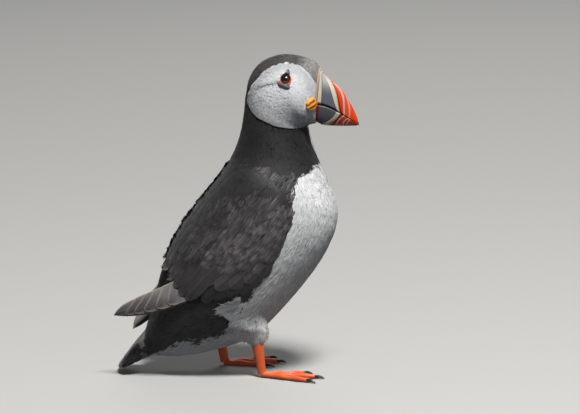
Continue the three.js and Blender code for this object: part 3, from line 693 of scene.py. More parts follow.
# ---------------------------------------------------------------- crown and neck feathers
# Short black feathers lie back over the crown, and longer ones run down the nape, the neck and the
# collar.
COLLAR_TOP = 168  # above it lie only the feathers of neck and head
black_down = feather_material("black body feather", 0.6, 0.07, 0.2, 0.15, 0.2)
p, q = scattered(body_chart, 1.36, (6.3, 15), (-math.pi, math.pi))
x, z = straight_view(p, q)
kept = ((depth_inside(FACE_OUTLINE, x, z) < -0.1) | (z < 172)) & (depth_inside(WHITE_OUTLINE, x, z) < 0.5)
kept &= ~((p < 6.9) & (chance.uniform(0, 1, p.shape) > 0.5))
p, q, x, z = only(kept, p, q, x, z)
length = np.interp(p, [6.3, 8, 9.5, 12, 15], [10.5, 7.5, 4.6, 4.2, 2.6])
kept = free_of_bare(p, q, length)
p, q, x, z, length = only(kept, p, q, x, z, length)
wide = np.interp(p, [6.3, 8, 9.5, 15], [0.62, 0.46, 0.32, 0.26])
colour = markings(x, z, np.where(z < COLLAR_TOP, chance.normal(0, 1, p.shape), -3))
collar = tufts(p, q, length, wide, coat_depth(p), BLADES, 0.16, colour, p_ends=(6, 15),
               shade=(0.6, 0.9, 1.5), curl=0.2, loose=0.08,
               within=lambda p, q: np.minimum(0.1 - depth_inside(FACE_OUTLINE, *straight_view(p, q)),
                                              4 - depth_inside(WHITE_OUTLINE, *straight_view(p, q))))
coat_piece("feathers_crown_and_neck", [collar], black_down, "black_feathers")

# ---------------------------------------------------------------- breast and belly feathers
# Dense white feathers, silky and longer toward the flanks, cover the breast and belly. They end
# raggedly against the black of the collar, the wing and the rump.
def under_wing(x, z, inset=7.0):
    """Whether a place lies well under the folded wing, where no feathers show."""
    edge = np.vstack([WING_STATIONS[:, :2], WING_STATIONS[::-1, 2:4]])
    return depth_inside(edge, x, z) > inset


white_silk = feather_material("white body feather", 0.8, 0.1, 0.05, 0.05, 0.05)
p, q = scattered(body_chart, 1.88, (-0.5, 8.8), (-math.pi, math.pi))
x, z = straight_view(p, q)
ragged = chance.normal(0, 1.1, p.shape)
border = depth_inside(WHITE_OUTLINE, x, z) + ragged
kept = (border > -0.3) & ~under_wing(x, z) & (z < COLLAR_TOP)
p, q, x, z, border = only(kept, p, q, x, z, border)
length = np.interp(p, [-0.5, 1, 3, 7, 8.8], [9, 11, 12, 10, 7]) * np.interp(border, [0, 4], [0.8, 1])
colour = markings(x, z, ragged[kept])
colour = np.maximum(colour, SNOW * 0.75 * (border > 0)[:, None])
silk = tufts(p, q, length, 0.72, coat_depth(p), BLADES, 0.2, colour, p_ends=(-1, 9),
             shade=(0.75, 0.95, 1.04), curl=0.12, loose=0.07, lay=0.1, ridge=0.4,
             within=lambda p, q: 2.5 + depth_inside(WHITE_OUTLINE, *straight_view(p, q)))
front = p > 4.4
for name, part in [("feathers_breast", front), ("feathers_belly", ~front)]:
    chosen = np.repeat(part, BLADES)
    coat_piece(name, [chosen_plumes(silk, chosen)], white_silk, "white_feathers")

# ---------------------------------------------------------------- back and rump feathers
# The mantle, back, rump and upper flanks are black, with worn grey tips, and painted sheen lightens the mantle
# upward.
p, q = scattered(body_chart, 2.2, (-2.6, 7.0), (-math.pi, math.pi))
x, z = straight_view(p, q)
ragged = chance.normal(0, 1.2, p.shape)
kept = (depth_inside(WHITE_OUTLINE, x, z) + ragged < 0.3) & ~under_wing(x, z) & (z < COLLAR_TOP)
p, q, x, z = only(kept, p, q, x, z)
length = np.interp(p, [-2.6, -1, 1, 4, 7], [9, 11, 12, 13, 10.5])
deep = np.where(p < 0, np.interp(p, [-3, 0], [0.8, 2]), coat_depth(p))
# The black is painted up to 1.6 times lighter from z = 90 to 130, as painted sheen on the upper mantle.
mantle = tufts(p, q, length, 0.8, deep, BLADES, 0.2,
               markings(x, z, -3.0) * np.interp(z, [90, 130], [1, 1.6])[:, None], p_ends=(-3, 7.2),
               shade=(0.5, 0.85, 1.9), curl=0.2)
coat_piece("feathers_back", [mantle], black_down, "black_feathers")

# ---------------------------------------------------------------- wing coverts
# The folded wing is shingled with black coverts. Long scapulars droop over small lesser coverts,
# then come rows of median and greater coverts. Each is a vane with a shaft, worn pale at its edge.
HAND_STATIONS = np.array([  # upper edge x, y, z, lower edge x, y, z and thickness of the wing tip
    [-41, 31, 71.5, -28, 39, 57, 3.6], [-49, 30, 67.4, -38, 37.5, 53, 3.4],
    [-59, 30, 62.7, -51, 35, 48.3, 2.8], [-70, 27, 57.2, -66, 30, 44.6, 2.2],
    [-79, 24, 51.6, -77, 25, 43.2, 1.6], [-85.2, 22, 44.8, -85, 22, 43.6, 0.9]])


def hand_rows(share, across, stand=0.0):
    """The outer face of the wing tip, between its upper and lower edge, swelling by half its
    thickness in the middle."""
    rows = rail(HAND_STATIONS, np.clip(share, 0, 1) * 5)
    behind = rail(HAND_STATIONS, np.full(np.shape(share), 0.1)) - HAND_STATIONS[0]
    rows = rows + behind * (np.minimum(share, 0) * 50)[..., None]
    points = rows[..., :3] + (rows[..., 3:6] - rows[..., :3]) * across[..., None]
    points[..., 1] += rows[..., 6] / 2 * lens(across) + stand
    return points


def wing_cover(x, z, side):
    """The wing's outer face over the place (x, z) of the flank. It stands off the flank by the wing's
    thickness, sinks to the flank beyond the wing's edges, and passes over the wing tip behind."""
    share, across = between(WING_STATIONS, x, z, False)
    rows = rail(WING_STATIONS, share)
    beyond = np.abs(across - np.clip(across, 0, 1)) * np.hypot(rows[..., 2] - rows[..., 0],
                                                               rows[..., 3] - rows[..., 1])
    stand = 0.3 + rows[..., 4] * lens(across) * smooth(1 - beyond / 7)
    flank = flank_point(x, z, 1, stand, True)
    hand_share, hand_across = between(HAND_STATIONS[:, [0, 2, 3, 5]], x, z, False)
    hand = np.stack([x, hand_rows(hand_share / 5, np.clip(hand_across, -0.1, 1.1))[..., 1], z], -1)
    behind = smooth(0.8 - ((x + 49) * 19 + (z - 72) * 13) / math.hypot(19, 13) / 10)
    return mixed(flank, hand, behind) * [1, side, 1] + FRAME_SHIFT


def vane_shape(rows=7, columns=5, arch=0.24):
    """A closed feather: rows of points across an arched upper face, one row of points below its
    middle, and a single tip. Columns as in a blade."""
    across = np.linspace(-1, 1, columns)
    points = [(row, v, -arch * v * v, 0) for row in range(rows - 1) for v in across]
    below = len(points)
    points += [(row, 0, 0, 1) for row in range(rows - 1)] + [(rows - 1, 0, 0, 0)]
    tip, faces = len(points) - 1, []
    for row in range(rows - 2):
        a, b = row * columns, (row + 1) * columns
        for c in range(columns - 1):
            faces += [(a + c, b + c, b + c + 1), (a + c, b + c + 1, a + c + 1)]
        left, right, m, n = (a, b), (a + columns - 1, b + columns - 1), below + row, below + row + 1
        faces += [(m, n, left[1]), (m, left[1], left[0]), (m, right[0], right[1]), (m, right[1], n)]
    a, m = (rows - 2) * columns, below + rows - 2
    faces += [(a + c, tip, a + c + 1) for c in range(columns - 1)]
    faces += [(m, tip, a), (m, a + columns - 1, tip)]
    faces += [(c, c + 1, below) for c in range(columns - 1)]
    return np.array(points, float), np.array(faces)


def stretched(chart, start, end, share, bow=0.0):
    """The midline of each plume from its start to its end on the chart, both (p, q), bowed to the
    side by a share of its length."""
    share = share[None, :, None]
    places = start[:, None] + (end - start)[:, None] * share
    off = np.stack([-(end - start)[:, 1], (end - start)[:, 0]], -1)[:, None] * (4 * share * (1 - share) * bow)
    p, q = np.moveaxis(places + off, -1, 0)
    place, normal, _, _ = looked_up(chart, p, q)
    return [place, normal, np.cross(normal, unit(np.gradient(place, axis=1))), p, q]


BARB = BLADE * [1, 1, 0.5, 1]


def loose_feathers(chart, x, z, fall, length, width, lift, tone, unwrap, blades=11, contrast=0.9):
    """Soft feathers of the side view. Each is a fan of overlapping barbs that start close together at
    its root and end along a rounded tip, arched a little across."""
    count = len(x) * blades
    repeat = lambda values: np.repeat(np.broadcast_to(values, x.shape), blades)
    t = np.tile(np.linspace(-1, 1, blades), len(x))
    ahead = np.stack([-np.cos(repeat(fall)), -np.sin(repeat(fall))], -1)
    aside = np.stack([-ahead[:, 1], ahead[:, 0]], -1)
    half, reach, root = repeat(width) / 2, repeat(length), np.stack([repeat(x), repeat(z)], -1)
    start = root + aside * (0.5 * t * half)[:, None]
    end = (root + ahead * (reach * (1 - 0.24 * t**2) * chance.uniform(0.93, 1.04, count))[:, None]
           + aside * (t * half + chance.normal(0, 0.16, count))[:, None])
    share = np.array([0, 0.55, 1])
    line = stretched(chart, start, end, share)
    wide = (half * 1.9 / blades)[:, None] * np.array([0.8, 1, 0.12])
    height = repeat(lift)[:, None] - 1.2 * (1 - share)**1.5 - (0.12 * half * t**2)[:, None]
    points = plumes(line, BARB, wide, height + chance.normal(0, 0.05, count)[:, None])
    row = BARB[:, 0].astype(int)
    # Each barb is painted darkest at its root, as painted shade where it lies under the feather above, and pale at
    # its tip and along the outer edges as wear.
    edge = (1 + 0.6 * contrast * (np.abs(t) > 0.85))[:, None]
    wear_and_root_shade = (1 + contrast * np.array([-0.85, -0.3, 1.0]))[row] * edge
    shade = repeat(chance.uniform(0.6, 1.4, len(x))) * chance.uniform(0.6, 1.4, count)
    colours = (np.repeat(tone, blades, 0) * shade[:, None])[:, None] * wear_and_root_shade[..., None]
    barbs = np.stack([wide[:, row] * BARB[:, 1], reach[:, None] * share[row]], -1)
    bulge = (0.25 * t)[:, None, None] * line[2][:, row]
    return (points, BLADE_FACES, colours, patches(repeat(unwrap[0]), repeat(unwrap[1]), BARB, 3), barbs,
            unit(rounded_over(line, BARB, 0.3) + bulge))


def draped(chart, line, shape, half_width, lift, thickness):
    """As plumes, but a broad feather's sides follow the surface: each point is looked up at its own
    place on the chart before it is lifted."""
    row = shape[:, 0].astype(int)
    _, _, slope_p, slope_q = looked_up(chart, line[3], line[4])
    pp, pq, qq = dot(slope_p, slope_p), dot(slope_p, slope_q), dot(slope_q, slope_q)
    sp, sq = dot(line[2], slope_p), dot(line[2], slope_q)
    area = np.maximum(pp * qq - pq**2, 1e-6)
    wide = half_width[:, row] * shape[:, 1]
    place, normal, _, _ = looked_up(chart, line[3][:, row] + wide * ((qq * sp - pq * sq) / area)[:, row],
                                    line[4][:, row] + wide * ((pp * sq - pq * sp) / area)[:, row])
    off = lift[:, row] + half_width[:, row] * shape[:, 2] - thickness * shape[:, 3]
    return place + normal * off[..., None]


QUILL, QUILL_FACES = vane_shape(15, 11, 0.07)
QUILL[:, 1] = np.sign(QUILL[:, 1]) * np.interp(np.abs(QUILL[:, 1]), np.linspace(0, 1, 6),
                                               [0, 0.06, 0.5, 0.88, 0.95, 1])
QUILL[:, 2] = -0.07 * QUILL[:, 1]**2 + 0.025 * (np.abs(QUILL[:, 1]) < 0.02) * (QUILL[:, 3] == 0)
QUILL_ROW = QUILL[:, 0].astype(int)
QUILL_SHARE = np.array([0, 0.15, 0.3, 0.42, 0.52, 0.6, 0.67, 0.74, 0.8, 0.86, 0.91, 0.95, 0.98, 0.993, 1])
ON_SHAFT = (np.abs(QUILL[:, 1]) < 0.02) * (QUILL[:, 3] == 0)


def quill_outline(tip, root=0.55):
    """Half widths of a long feather as a share: from a narrow root to full, then round or pointed over
    the last part, which is the given share of the length."""
    return (root + (1 - root) * smooth(QUILL_SHARE / 0.35)) * np.sqrt(
        np.clip(1 - (np.maximum(QUILL_SHARE - (1 - tip), 0) / tip)**2, 0, 1))


def quills(chart, start, end, width, outline, root_lift, tip_lift, colour, fringe, fringe_share, unwrap,
           bow=0.0):
    """Large feathers from start to end: dark vanes either side of a raised shaft, with a fringe of a
    paler colour along their edges."""
    count = len(start)
    line = stretched(chart, start, end, QUILL_SHARE, bow)
    wide = width[:, None] / 2 * outline * (1 + chance.normal(0, 0.015, (count, 15)))
    lift = root_lift[:, None] * (1 - QUILL_SHARE) + tip_lift[:, None]
    points = draped(chart, line, QUILL, wide, lift, 0.35)
    share = QUILL_SHARE[QUILL_ROW]
    pale = smooth((np.abs(QUILL[:, 1]) - 0.87) / 0.08) * share + smooth((share - 0.96) / 0.03)
    tone = chance.uniform(0.85, 1.15, count)[:, None, None] * (1 - 0.35 * (np.abs(QUILL[:, 1]) < 0.02))[:, None]
    streak = (0.8 + 0.4 * chance.uniform(0, 1, (count, len(QUILL))))[..., None]
    colours = mixed(colour * tone * streak, fringe + 0 * streak,
                    np.clip(pale * fringe_share, 0, 1) + 0 * streak[..., 0])
    length = np.linalg.norm(np.diff(line[0], axis=1), axis=-1).sum(1)
    barbs = np.stack([wide[:, QUILL_ROW] * QUILL[:, 1], length[:, None] * share], -1)
    return points, QUILL_FACES, colours, patches(*unwrap, QUILL, 15), barbs, 0 * points


def wing_unwrap(x, z):
    """A place's share along and across the wing's own outline."""
    share, across = between(WING_STATIONS, x, z, False)
    return np.clip(share / 7, 0, 1), np.clip(across, 0, 1)


# Tracts of coverts in side view: outline, spacing along and across, length, width, slope and lift.
SCAPULARS = [(35, 142), (22, 149), (4, 150), (-10, 139), (-23, 123), (-35, 105), (-46, 86), (-44, 74),
             (-34, 76), (-22, 88), (-10, 100.4), (-5.3, 99.7), (2, 103.3), (10, 108.2),
             (17, 114.5), (26, 120.2), (36.5, 127.5)]
COVERT_TRACTS = [
    dict(outline=[(-22, 92), (-2, 92), (8, 96), (20, 101), (33, 106), (30, 91), (24, 85), (10, 78), (-5, 74),
                  (-20, 75), (-31, 79)], along=5.2, across=4.6, length=15, width=6.4, slope=46,
         lift=-1.05, tone=3.6),
    dict(outline=[(38, 129), (26, 121.5), (17, 116), (10, 110), (2, 105), (-5, 102), (-14, 97), (-20, 85),
                  (-2, 84), (8, 89), (18, 94), (30, 99), (38, 115)], along=4.4, across=3.2, length=12,
         width=4.6, slope=50, lift=-0.85, tone=3.4),
    dict(outline=SCAPULARS, along=6.0, across=3.4, length=21, width=5.0, slope=53, lift=-0.35, tone=2.3),
]
GREATER_TIPS = [(-31, 70.5), (-23.5, 68.4), (-13.6, 66), (-3.5, 67.5), (6.5, 71.5), (15, 77.5), (22, 85),
                (27, 93)]
GREATER_WIDTHS = np.array([11, 11.5, 11.5, 11, 10.5, 9.5, 8.5, 7.0])
TERTIALS = np.array([[(0, 92), (-33.5, 57)], [(-2, 98), (-38.5, 60)], [(-4, 106), (-42, 65)],
                     [(-8, 114), (-46, 69.5)], [(-14, 122), (-49, 76)]], float)
SECONDARIES = np.array([[(3, 88), (-22, 54.5)], [(9, 86), (-13, 57)], [(15, 86), (-4, 59)],
                        [(20, 88), (4.5, 61)], [(25, 92), (12, 66)], [(29, 97), (19, 73)]], float)
black_vane = feather_material("black vane", 0.5, 0.12, 0.35)
BROWN_FRINGE = np.array([0.15, 0.13, 0.115])
cover_chart = {}
for name, side in SIDES.items():
    cover_chart[side] = charted(lambda x, z: wing_cover(x, z, side), (-60, 42), (25, 152), (205, 255), -side)
    batches = []
    for feathers, width, lift, tone in [(SECONDARIES, 11, -2.1, 1.2), (TERTIALS, 12, -1.0, 2.2)]:
        count = len(feathers)
        batches.append(quills(cover_chart[side], feathers[:, 0], feathers[:, 1], np.full(count, float(width)),
                              quill_outline(0.25), np.full(count, -0.9), lift + 0.12 * np.arange(count),
                              SOOT * tone, BROWN_FRINGE, 0.35 * (lift > -2) + 0.1,
                              wing_unwrap(*feathers[:, 0].T), -0.03))
    tips = np.array(GREATER_TIPS, float)
    roots = tips + np.array([17.5, 18])
    batches.append(quills(cover_chart[side], roots, tips, GREATER_WIDTHS, quill_outline(0.3), np.full(8, -0.8),
                          -1.35 - 0.06 * np.arange(8), SOOT * 3.2, BROWN_FRINGE, 0.6, wing_unwrap(*roots.T),
                          0.03))
    for tract in COVERT_TRACTS:
        slope = math.radians(tract["slope"])
        a, c = np.meshgrid(np.arange(-120, 120, tract["along"]), np.arange(-120, 120, tract["across"]),
                           indexing="ij")
        c = c + tract["across"] * (np.arange(len(a)) % 2)[:, None] / 2
        a, c = a + chance.normal(0, 1.1, a.shape), c + chance.normal(0, 0.7, c.shape)
        x = (-a * math.cos(slope) - c * math.sin(slope)).ravel()
        z = (100 - a * math.sin(slope) + c * math.cos(slope)).ravel()
        tip = x - tract["length"] * math.cos(slope), z - tract["length"] * math.sin(slope)
        kept = depth_inside(np.array(tract["outline"]), *tip) > 0
        x, z = x[kept], z[kept]
        fall = slope + chance.normal(0, 0.1, len(x))
        # The uppermost sink under the feathers of the neck and mantle.
        lift = tract["lift"] - chance.uniform(0, 0.3, len(x)) - 0.7 * smooth((z - 134) / 14)
        length, width = [tract[size] * chance.uniform(0.85, 1.12, len(x)) for size in ("length", "width")]
        tone = np.tile(SOOT * 1.3 * tract["tone"], (len(x), 1))
        batches.append(loose_feathers(cover_chart[side], x, z, fall, length, width, lift, tone,
                                      wing_unwrap(x, z)))
    # Down of the mantle laps over the upper edge of the scapulars.
    x, z = scattered(cover_chart[side], 2.1, (-46, 40), (84, 152))
    along, across = between(WING_STATIONS, x, z, False)
    kept = (across > -0.12) & (along < 6.3) & (depth_inside(WHITE_OUTLINE, x, z) < 0.3)
    kept &= across < np.maximum(chance.uniform(0.0, 0.35, x.shape), 1.1 * (along < 0.35))
    x, z = only(kept, x, z)
    fall = np.radians(np.interp(x, [-20, 35], [57, 66])) + chance.normal(0, 0.1, len(x))
    toward = np.stack([-np.cos(fall), np.zeros(len(x)), -np.sin(fall)], -1)
    batches.append(tufts(x, z, 11, 0.75, 1.6, BLADES, 0.2, np.tile(SOOT * 1.15, (len(x), 1)), cover_chart[side],
                         toward=toward, curl=0.2, shade=(0.5, 0.85, 1.7), unwrap=wing_unwrap(x, z)))
    coat_piece(f"coverts_{name}", batches, black_vane, "black_feathers")

# ---------------------------------------------------------------- primaries
# Behind the coverts the wing tip shows six primaries, each with a thin buff edge. The shortest lies
# uppermost, and the left wing tip hangs lower.
PRIMARY_REACH = np.array([0.995, 0.77, 0.65, 0.54, 0.42, 0.29])  # shares of the wing tip's length
LEFT_DROOP, DROOP_PIVOT = math.radians(27), np.array([-40, 60])
BUFF_EDGE = np.array([0.42, 0.345, 0.285])


def hand_point(share, across, side):
    """The wing tip's outer face on its own side, the left one turned down about its wrist."""
    points = hand_rows(share, across)
    if side > 0:
        dx, dz = points[..., 0] - DROOP_PIVOT[0], points[..., 2] - DROOP_PIVOT[1]
        c, s = math.cos(LEFT_DROOP), math.sin(LEFT_DROOP)
        points = np.stack([DROOP_PIVOT[0] + dx * c - dz * s, points[..., 1],
                           DROOP_PIVOT[1] + dx * s + dz * c], -1)
    return points * [1, side, 1] + FRAME_SHIFT


def primary(chart, order, start):
    """One primary. Its upper edge follows the wing tip's and then curves down over its last fifth to
    meet the lower edge at a rounded tip."""
    reach, inner = PRIMARY_REACH[order], order / (len(PRIMARY_REACH) - 1)
    along = start + (reach - start) * QUILL_SHARE
    taper = 0.07 if order == 0 else 0.19
    low = (0.98 if order == 0 else 0.87) - 0.1 * smooth((along - reach + 0.05) / 0.05)
    high = low * (1 - np.sqrt(1 - np.clip((along - reach + taper) / taper, 0, 1)))
    across = ((low + high) / 2)[QUILL_ROW] + QUILL[:, 1] * ((low - high) / 2)[QUILL_ROW]
    place, normal, _, _ = looked_up(chart, along[QUILL_ROW], across)
    lift = (-1.9 * (1 - QUILL_SHARE) - 0.3 * (1 - inner) * (5 - 4 * QUILL_SHARE))[QUILL_ROW] - 0.15
    points = place + normal * (lift - 0.25 * QUILL[:, 3] + 0.12 * ON_SHAFT)[:, None]
    share = QUILL_SHARE[QUILL_ROW]
    lower_edge = smooth((share - 0.75) / 0.2) + 0.7 * (order > 3)
    breadth = 20 - 16 * along[QUILL_ROW]
    gap = (1 - np.abs(QUILL[:, 1])) * ((low - high) / 2)[QUILL_ROW] * breadth
    pale = smooth(1 - gap / 1.1) * np.where(QUILL[:, 1] > 0, np.clip(lower_edge, 0, 1) * (order > 0),
                                            smooth(share * 3))
    pale = pale * (1 if start < 0 else smooth(along[QUILL_ROW] / 0.5))
    dark = SOOT * np.interp(share, [0, 0.7, 1], [7.4, 6.6, 3.0])[:, None]
    dark = dark * chance.uniform(0.85, 1.15, (len(share), 1))
    barbs = np.stack([QUILL[:, 1] * 8, share * 50], -1)
    unwrap = np.array([0.15 + 0.14 * order]), np.array([0.5])
    return (points[None], QUILL_FACES, mixed(dark, BUFF_EDGE, pale * 0.75)[None],
            patches(*unwrap, QUILL, 15, 0.05), barbs[None], 0 * points[None])


for name, side in SIDES.items():
    hand_chart = charted(lambda share, across: hand_point(share, across, side), (-0.3, 1), (-0.15, 1.15),
                         (105, 53), -side)
    batches = [primary(hand_chart, order, -0.16 if side < 0 else 0.1) for order in range(len(PRIMARY_REACH))]
    coat_piece(f"primaries_{name}_feathers", batches, black_vane, "black_feathers", f"primaries_{name}")

# ---------------------------------------------------------------- tail feathers
# Short, stiff, rounded feathers make the tail, laid like a closed fan: twelve above and twelve below.
TAIL_STATIONS = np.array([  # back x, z, belly x, z and half width
    [-64.3, 28.9, -58.3, 10.9, 12.8], [-69.5, 22.6, -64.5, 8.6, 16.5], [-75, 15.2, -71, 6, 18],
    [-80, 8, -77, 3.8, 16], [-82.6, 4.2, -81.6, 3, 9]])


def tail_point(share, turn):
    """An oval from the upper to the lower face of the tail."""
    rows = rail(TAIL_STATIONS, np.clip(share, 0, 1) * 4)
    ahead = (TAIL_STATIONS[1] - TAIL_STATIONS[0]) * (np.minimum(share, 0) * 4)[..., None]
    rows = rows + ahead * [1, 1, 1, 1, 0]
    side = rows[..., :2] + (rows[..., 2:4] - rows[..., :2]) * ((1 - np.cos(turn)) / 2)[..., None]
    return np.stack([side[..., 0], rows[..., 4] * np.sin(turn), side[..., 1]], -1) + FRAME_SHIFT


tail_chart = charted(tail_point, (-0.6, 1), (-4.9, 4.9), (129, 393), -1)
batches = []
for middle, count in [(0, 12), (math.pi, 12)]:
    fan = np.linspace(-1, 1, count)[np.argsort(-np.abs(np.linspace(-1, 1, count)))]
    start = np.stack([np.full(count, -0.55), middle + fan * 1.0], -1)
    end = np.stack([0.985 - 0.2 * np.abs(fan)**2, middle + fan * 1.42], -1)
    # The lower twelve are painted a paler olive grey: partly their own paler underside, partly painted light
    # thrown up from the ground.
    tone = mixed(SOOT * 8, np.array([0.2, 0.185, 0.13]), np.full(count, 0.55 * (middle > 0)))[:, None]
    batches.append(quills(tail_chart, start, end, np.full(count, 7.6), quill_outline(0.22, 0.7),
                          np.full(count, -0.4), -0.25 - 0.9 * np.abs(fan), tone, BROWN_FRINGE * 1.4, 0.6,
                          (0.25 + 0.5 * (middle > 0) + 0.2 * fan, np.full(count, 0.3))))
coat_piece("tail_feathers", batches, black_vane, "black_feathers", "tail")

# ---------------------------------------------------------------- thigh feathers
# Loose, fluffy white feathers clothe the thighs down to the bare shanks, and flow over from the belly
# and the flank without a step. Curled wisps of them lie over the wing's lower edge.
def thigh_cover(x, z, leg):
    """The flank and the thigh as one form: the higher of the two, blended where they differ by less
    than 12 so that the slope has no step."""
    rows = np.array([(a, b, r[0]) for (a, b), r in zip(leg["joints"], THIGH_RADII)])
    share = np.linspace(0, 2, 41)
    spots = rail(rows, share)
    gap = np.hypot(x[..., None] - spots[:, 0], z[..., None] - spots[:, 1])
    nearest = (gap - spots[:, 2]).argmin(-1)
    over = np.take_along_axis(gap, nearest[..., None], -1)[..., 0] / spots[nearest, 2]
    swell = np.where(over < 0.9, np.sqrt(np.clip(1 - over**2, 0.19, 1)), 0.436 - 2.06 * (over - 0.9))
    bulge = LEG_SPREAD + 0.65 * spots[nearest, 2] * swell
    bulge = bulge - 8 * smooth((z - 33) / 15)
    flank = flank_point(x, z, 1, 0.0, True)[..., 1]
    lean = np.clip(0.5 + (bulge - flank) / 24, 0, 1)
    blend = flank + (bulge - flank) * lean + 12 * lean * (1 - lean)
    return np.stack([x, blend * leg["side"], z], -1) + FRAME_SHIFT


WISPS = 60  # of curled down on each side
for name, leg in LEGS.items():
    side = leg["side"]
    hip = np.array(leg["joints"][0])
    outer_chart = charted(lambda x, z: thigh_cover(x, z, leg), (-45, 40), (12, 66), (171, 109), -side)
    p, q = scattered(outer_chart, 1.75, (hip[0] - 22, hip[0] + 26), (18, 60))
    spots = rail(np.array(leg["joints"], float), np.linspace(0, 2, 21))
    radii = rail(THIGH_RADII, np.linspace(0, 2, 21))[:, 0]
    near = (np.hypot(p[:, None] - spots[:, 0], q[:, None] - spots[:, 1]) - radii).min(1)
    kept = ((near < np.interp(p, [hip[0] + 4, hip[0] + 12], [5, 1.0]) - chance.uniform(0, 4, p.shape))
            & (q > 28) & (q < 51) & (near < np.interp(q, [28, 38], [-1, 6]))
            & (depth_inside(WHITE_OUTLINE, p, q) > 2.5))
    p, q = only(kept, p, q)
    fall = np.radians(np.interp(q, [22, 40, 58], [88, 70, 50])) + chance.normal(0, 0.12, len(p))
    toward = np.stack([-np.cos(fall), np.zeros(len(p)), -np.sin(fall)], -1)
    fluff = tufts(p, q, np.interp(q, [20, 30, 50], [5, 9, 12]), 0.6, np.interp(q, [20, 40], [1.8, 3.4]),
                  BLADES, 0.24,
                  np.tile(SNOW, (len(p), 1)), outer_chart, toward=toward, curl=0.25, lay=0.3,
                  shade=(0.75, 0.95, 1.03),
                  within=lambda p, q: 1.5 + depth_inside(WHITE_OUTLINE, p, q),
                  unwrap=((p + 45) / 85, (q - 12) / 54))
    tube = charted(lambda down, turn: thigh_point(leg, 1 - down, turn), (0, 1), (-3.6, 3.6), (81, 145), 1)
    if dot(tube["table"][40, 72, 3:6], tube["table"][40, 72, :3] - tube["table"][40, :, :3].mean(0)) < 0:
        tube["table"][..., 3:6] *= -1
    p, q = scattered(tube, 1.6, (0.28, 0.85), (-math.pi, math.pi))
    place, normal, _, _ = looked_up(tube, p, q)
    kept = (p < 0.52) | (normal[:, 1] * side < 0.5)
    p, q = p[kept], q[kept]
    lower = tufts(p, q, np.interp(p, [0.3, 1], [5, 10.5]), 0.5, np.interp(p, [0.3, 0.5], [1.4, 2.8]), BLADES, 0.22,
                  np.tile(SNOW, (len(p), 1)), tube, (0, 1), shade=(0.75, 0.95, 1.03), curl=0.2, loose=0.08)
    x = chance.uniform(-9, 4, WISPS)
    z = np.interp(x, [-9, 4], [50.5, 57]) + chance.normal(0, 1.3, WISPS)
    toward = np.tile([-1.0, 0, -0.25], (WISPS, 1)) + np.stack([0 * x, 0 * x, chance.normal(0, 0.25, WISPS)], -1)
    wisps = tufts(x, z, chance.uniform(4, 8, WISPS), 0.3, 1.0, 4, 0.3, np.tile(SNOW, (WISPS, 1)),
                  cover_chart[side], toward=toward, curl=1.0, lay=0.1, droop=1.0,
                  shade=(0.9, 1, 1), unwrap=wing_unwrap(x, z))
    coat_piece(f"feathers_thigh_{name}", [fluff, lower, wisps], white_silk, "white_feathers")


# ---------------------------------------------------------------- eyes
# Each dark brown eye is a ball set deep in the head under a clear cornea. A bare orange-red rim of
# beaded skin forms the lids, with the small slate horn plates of summer above and below it.
EYE_RADIUS, EYE_SUNK = 5.0, 4.1
RIM_OUTLINE = np.array([(-4.3, -3.0), (-3.6, 0), (-1.8, 3.2), (0.1, 4.1), (1.9, 3.4), (3.7, 0.4), (3.6, -2.3),
                        (2.7, -4.0), (-0.7, -4.0)])
PUPIL, IRIS, EYE_EDGE = np.array([[0.002, 0.002, 0.002], [0.008, 0.0045, 0.004], [0.01, 0.006, 0.005]])
UPPER_PLATE = np.array([(-1.5, 2.9), (0.5, 3.0), (2.5, 2.7), (2.2, 4.4), (1.3, 6.2), (0.0, 4.6)])


def made(name, form, material, colours, slot, *nodes):
    """A piece of points and triangles, painted and fixed in place of the nodes named, if any."""
    piece = piece_of(name, *form, material)
    painted(piece, colours)
    fixed(piece, slot, *nodes)


def outward_at(x, z, side):
    """The direction straight out of the head at a place of the side view."""
    step = 0.5
    ahead = flank_point(x + step, z, side) - flank_point(x - step, z, side)
    upward = flank_point(x, z + step, side) - flank_point(x, z - step, side)
    return unit(np.cross(upward, ahead)) * side


def rounded(outline, count):
    """A smooth closed curve through the outline's points."""
    looped = np.vstack([outline[-2:], outline, outline[:3]])
    return rail(looped, 2 + np.linspace(0, len(outline), count, endpoint=False))


def hoop(rings):
    """Points and triangles of a form that closes on itself both ways."""
    count, sides = rings.shape[:2]
    i, j = np.meshgrid(np.arange(count), np.arange(sides), indexing="ij")
    a, b = i * sides + j, i * sides + (j + 1) % sides
    c, d = (i + 1) % count * sides + (j + 1) % sides, (i + 1) % count * sides + j
    return outward(rings.reshape(-1, 3), np.stack([a, b, c, a, c, d], -1).reshape(-1, 3))


def button(outline, middle, side, height, place):
    """A low cushion over an outline: each ring is the outline drawn in toward the middle, and rises
    steeply at first, as one less the fourth power of its size."""
    size = np.array([1.0, 1.0, 0.96, 0.88, 0.76, 0.6, 0.4, 0.2])
    lift = np.concatenate([[-1.0], height * (1 - size[1:]**4)])
    drawn = middle + size[:, None, None] * (outline - middle) + place
    return wrapped(flank_point(drawn[..., 0], drawn[..., 1], side, lift[:, None] + 0.3))


def horn_material(name, roughness, grain, strength, clear=0.0):
    """Horn or bare skin: colour from the attribute Coat, mottled and pitted by noise."""
    material = skin_material(name, roughness, grain, strength)
    shader = material.node_tree.nodes["Principled BSDF"]
    shader.inputs["Specular IOR Level"].default_value = 0.5
    shader.inputs["Coat Weight"].default_value = clear
    shader.inputs["Coat Roughness"].default_value = 0.12
    tone = material.node_tree.nodes["Map Range"]
    tone.inputs["To Min"].default_value, tone.inputs["To Max"].default_value = 0.86, 1.14
    return material


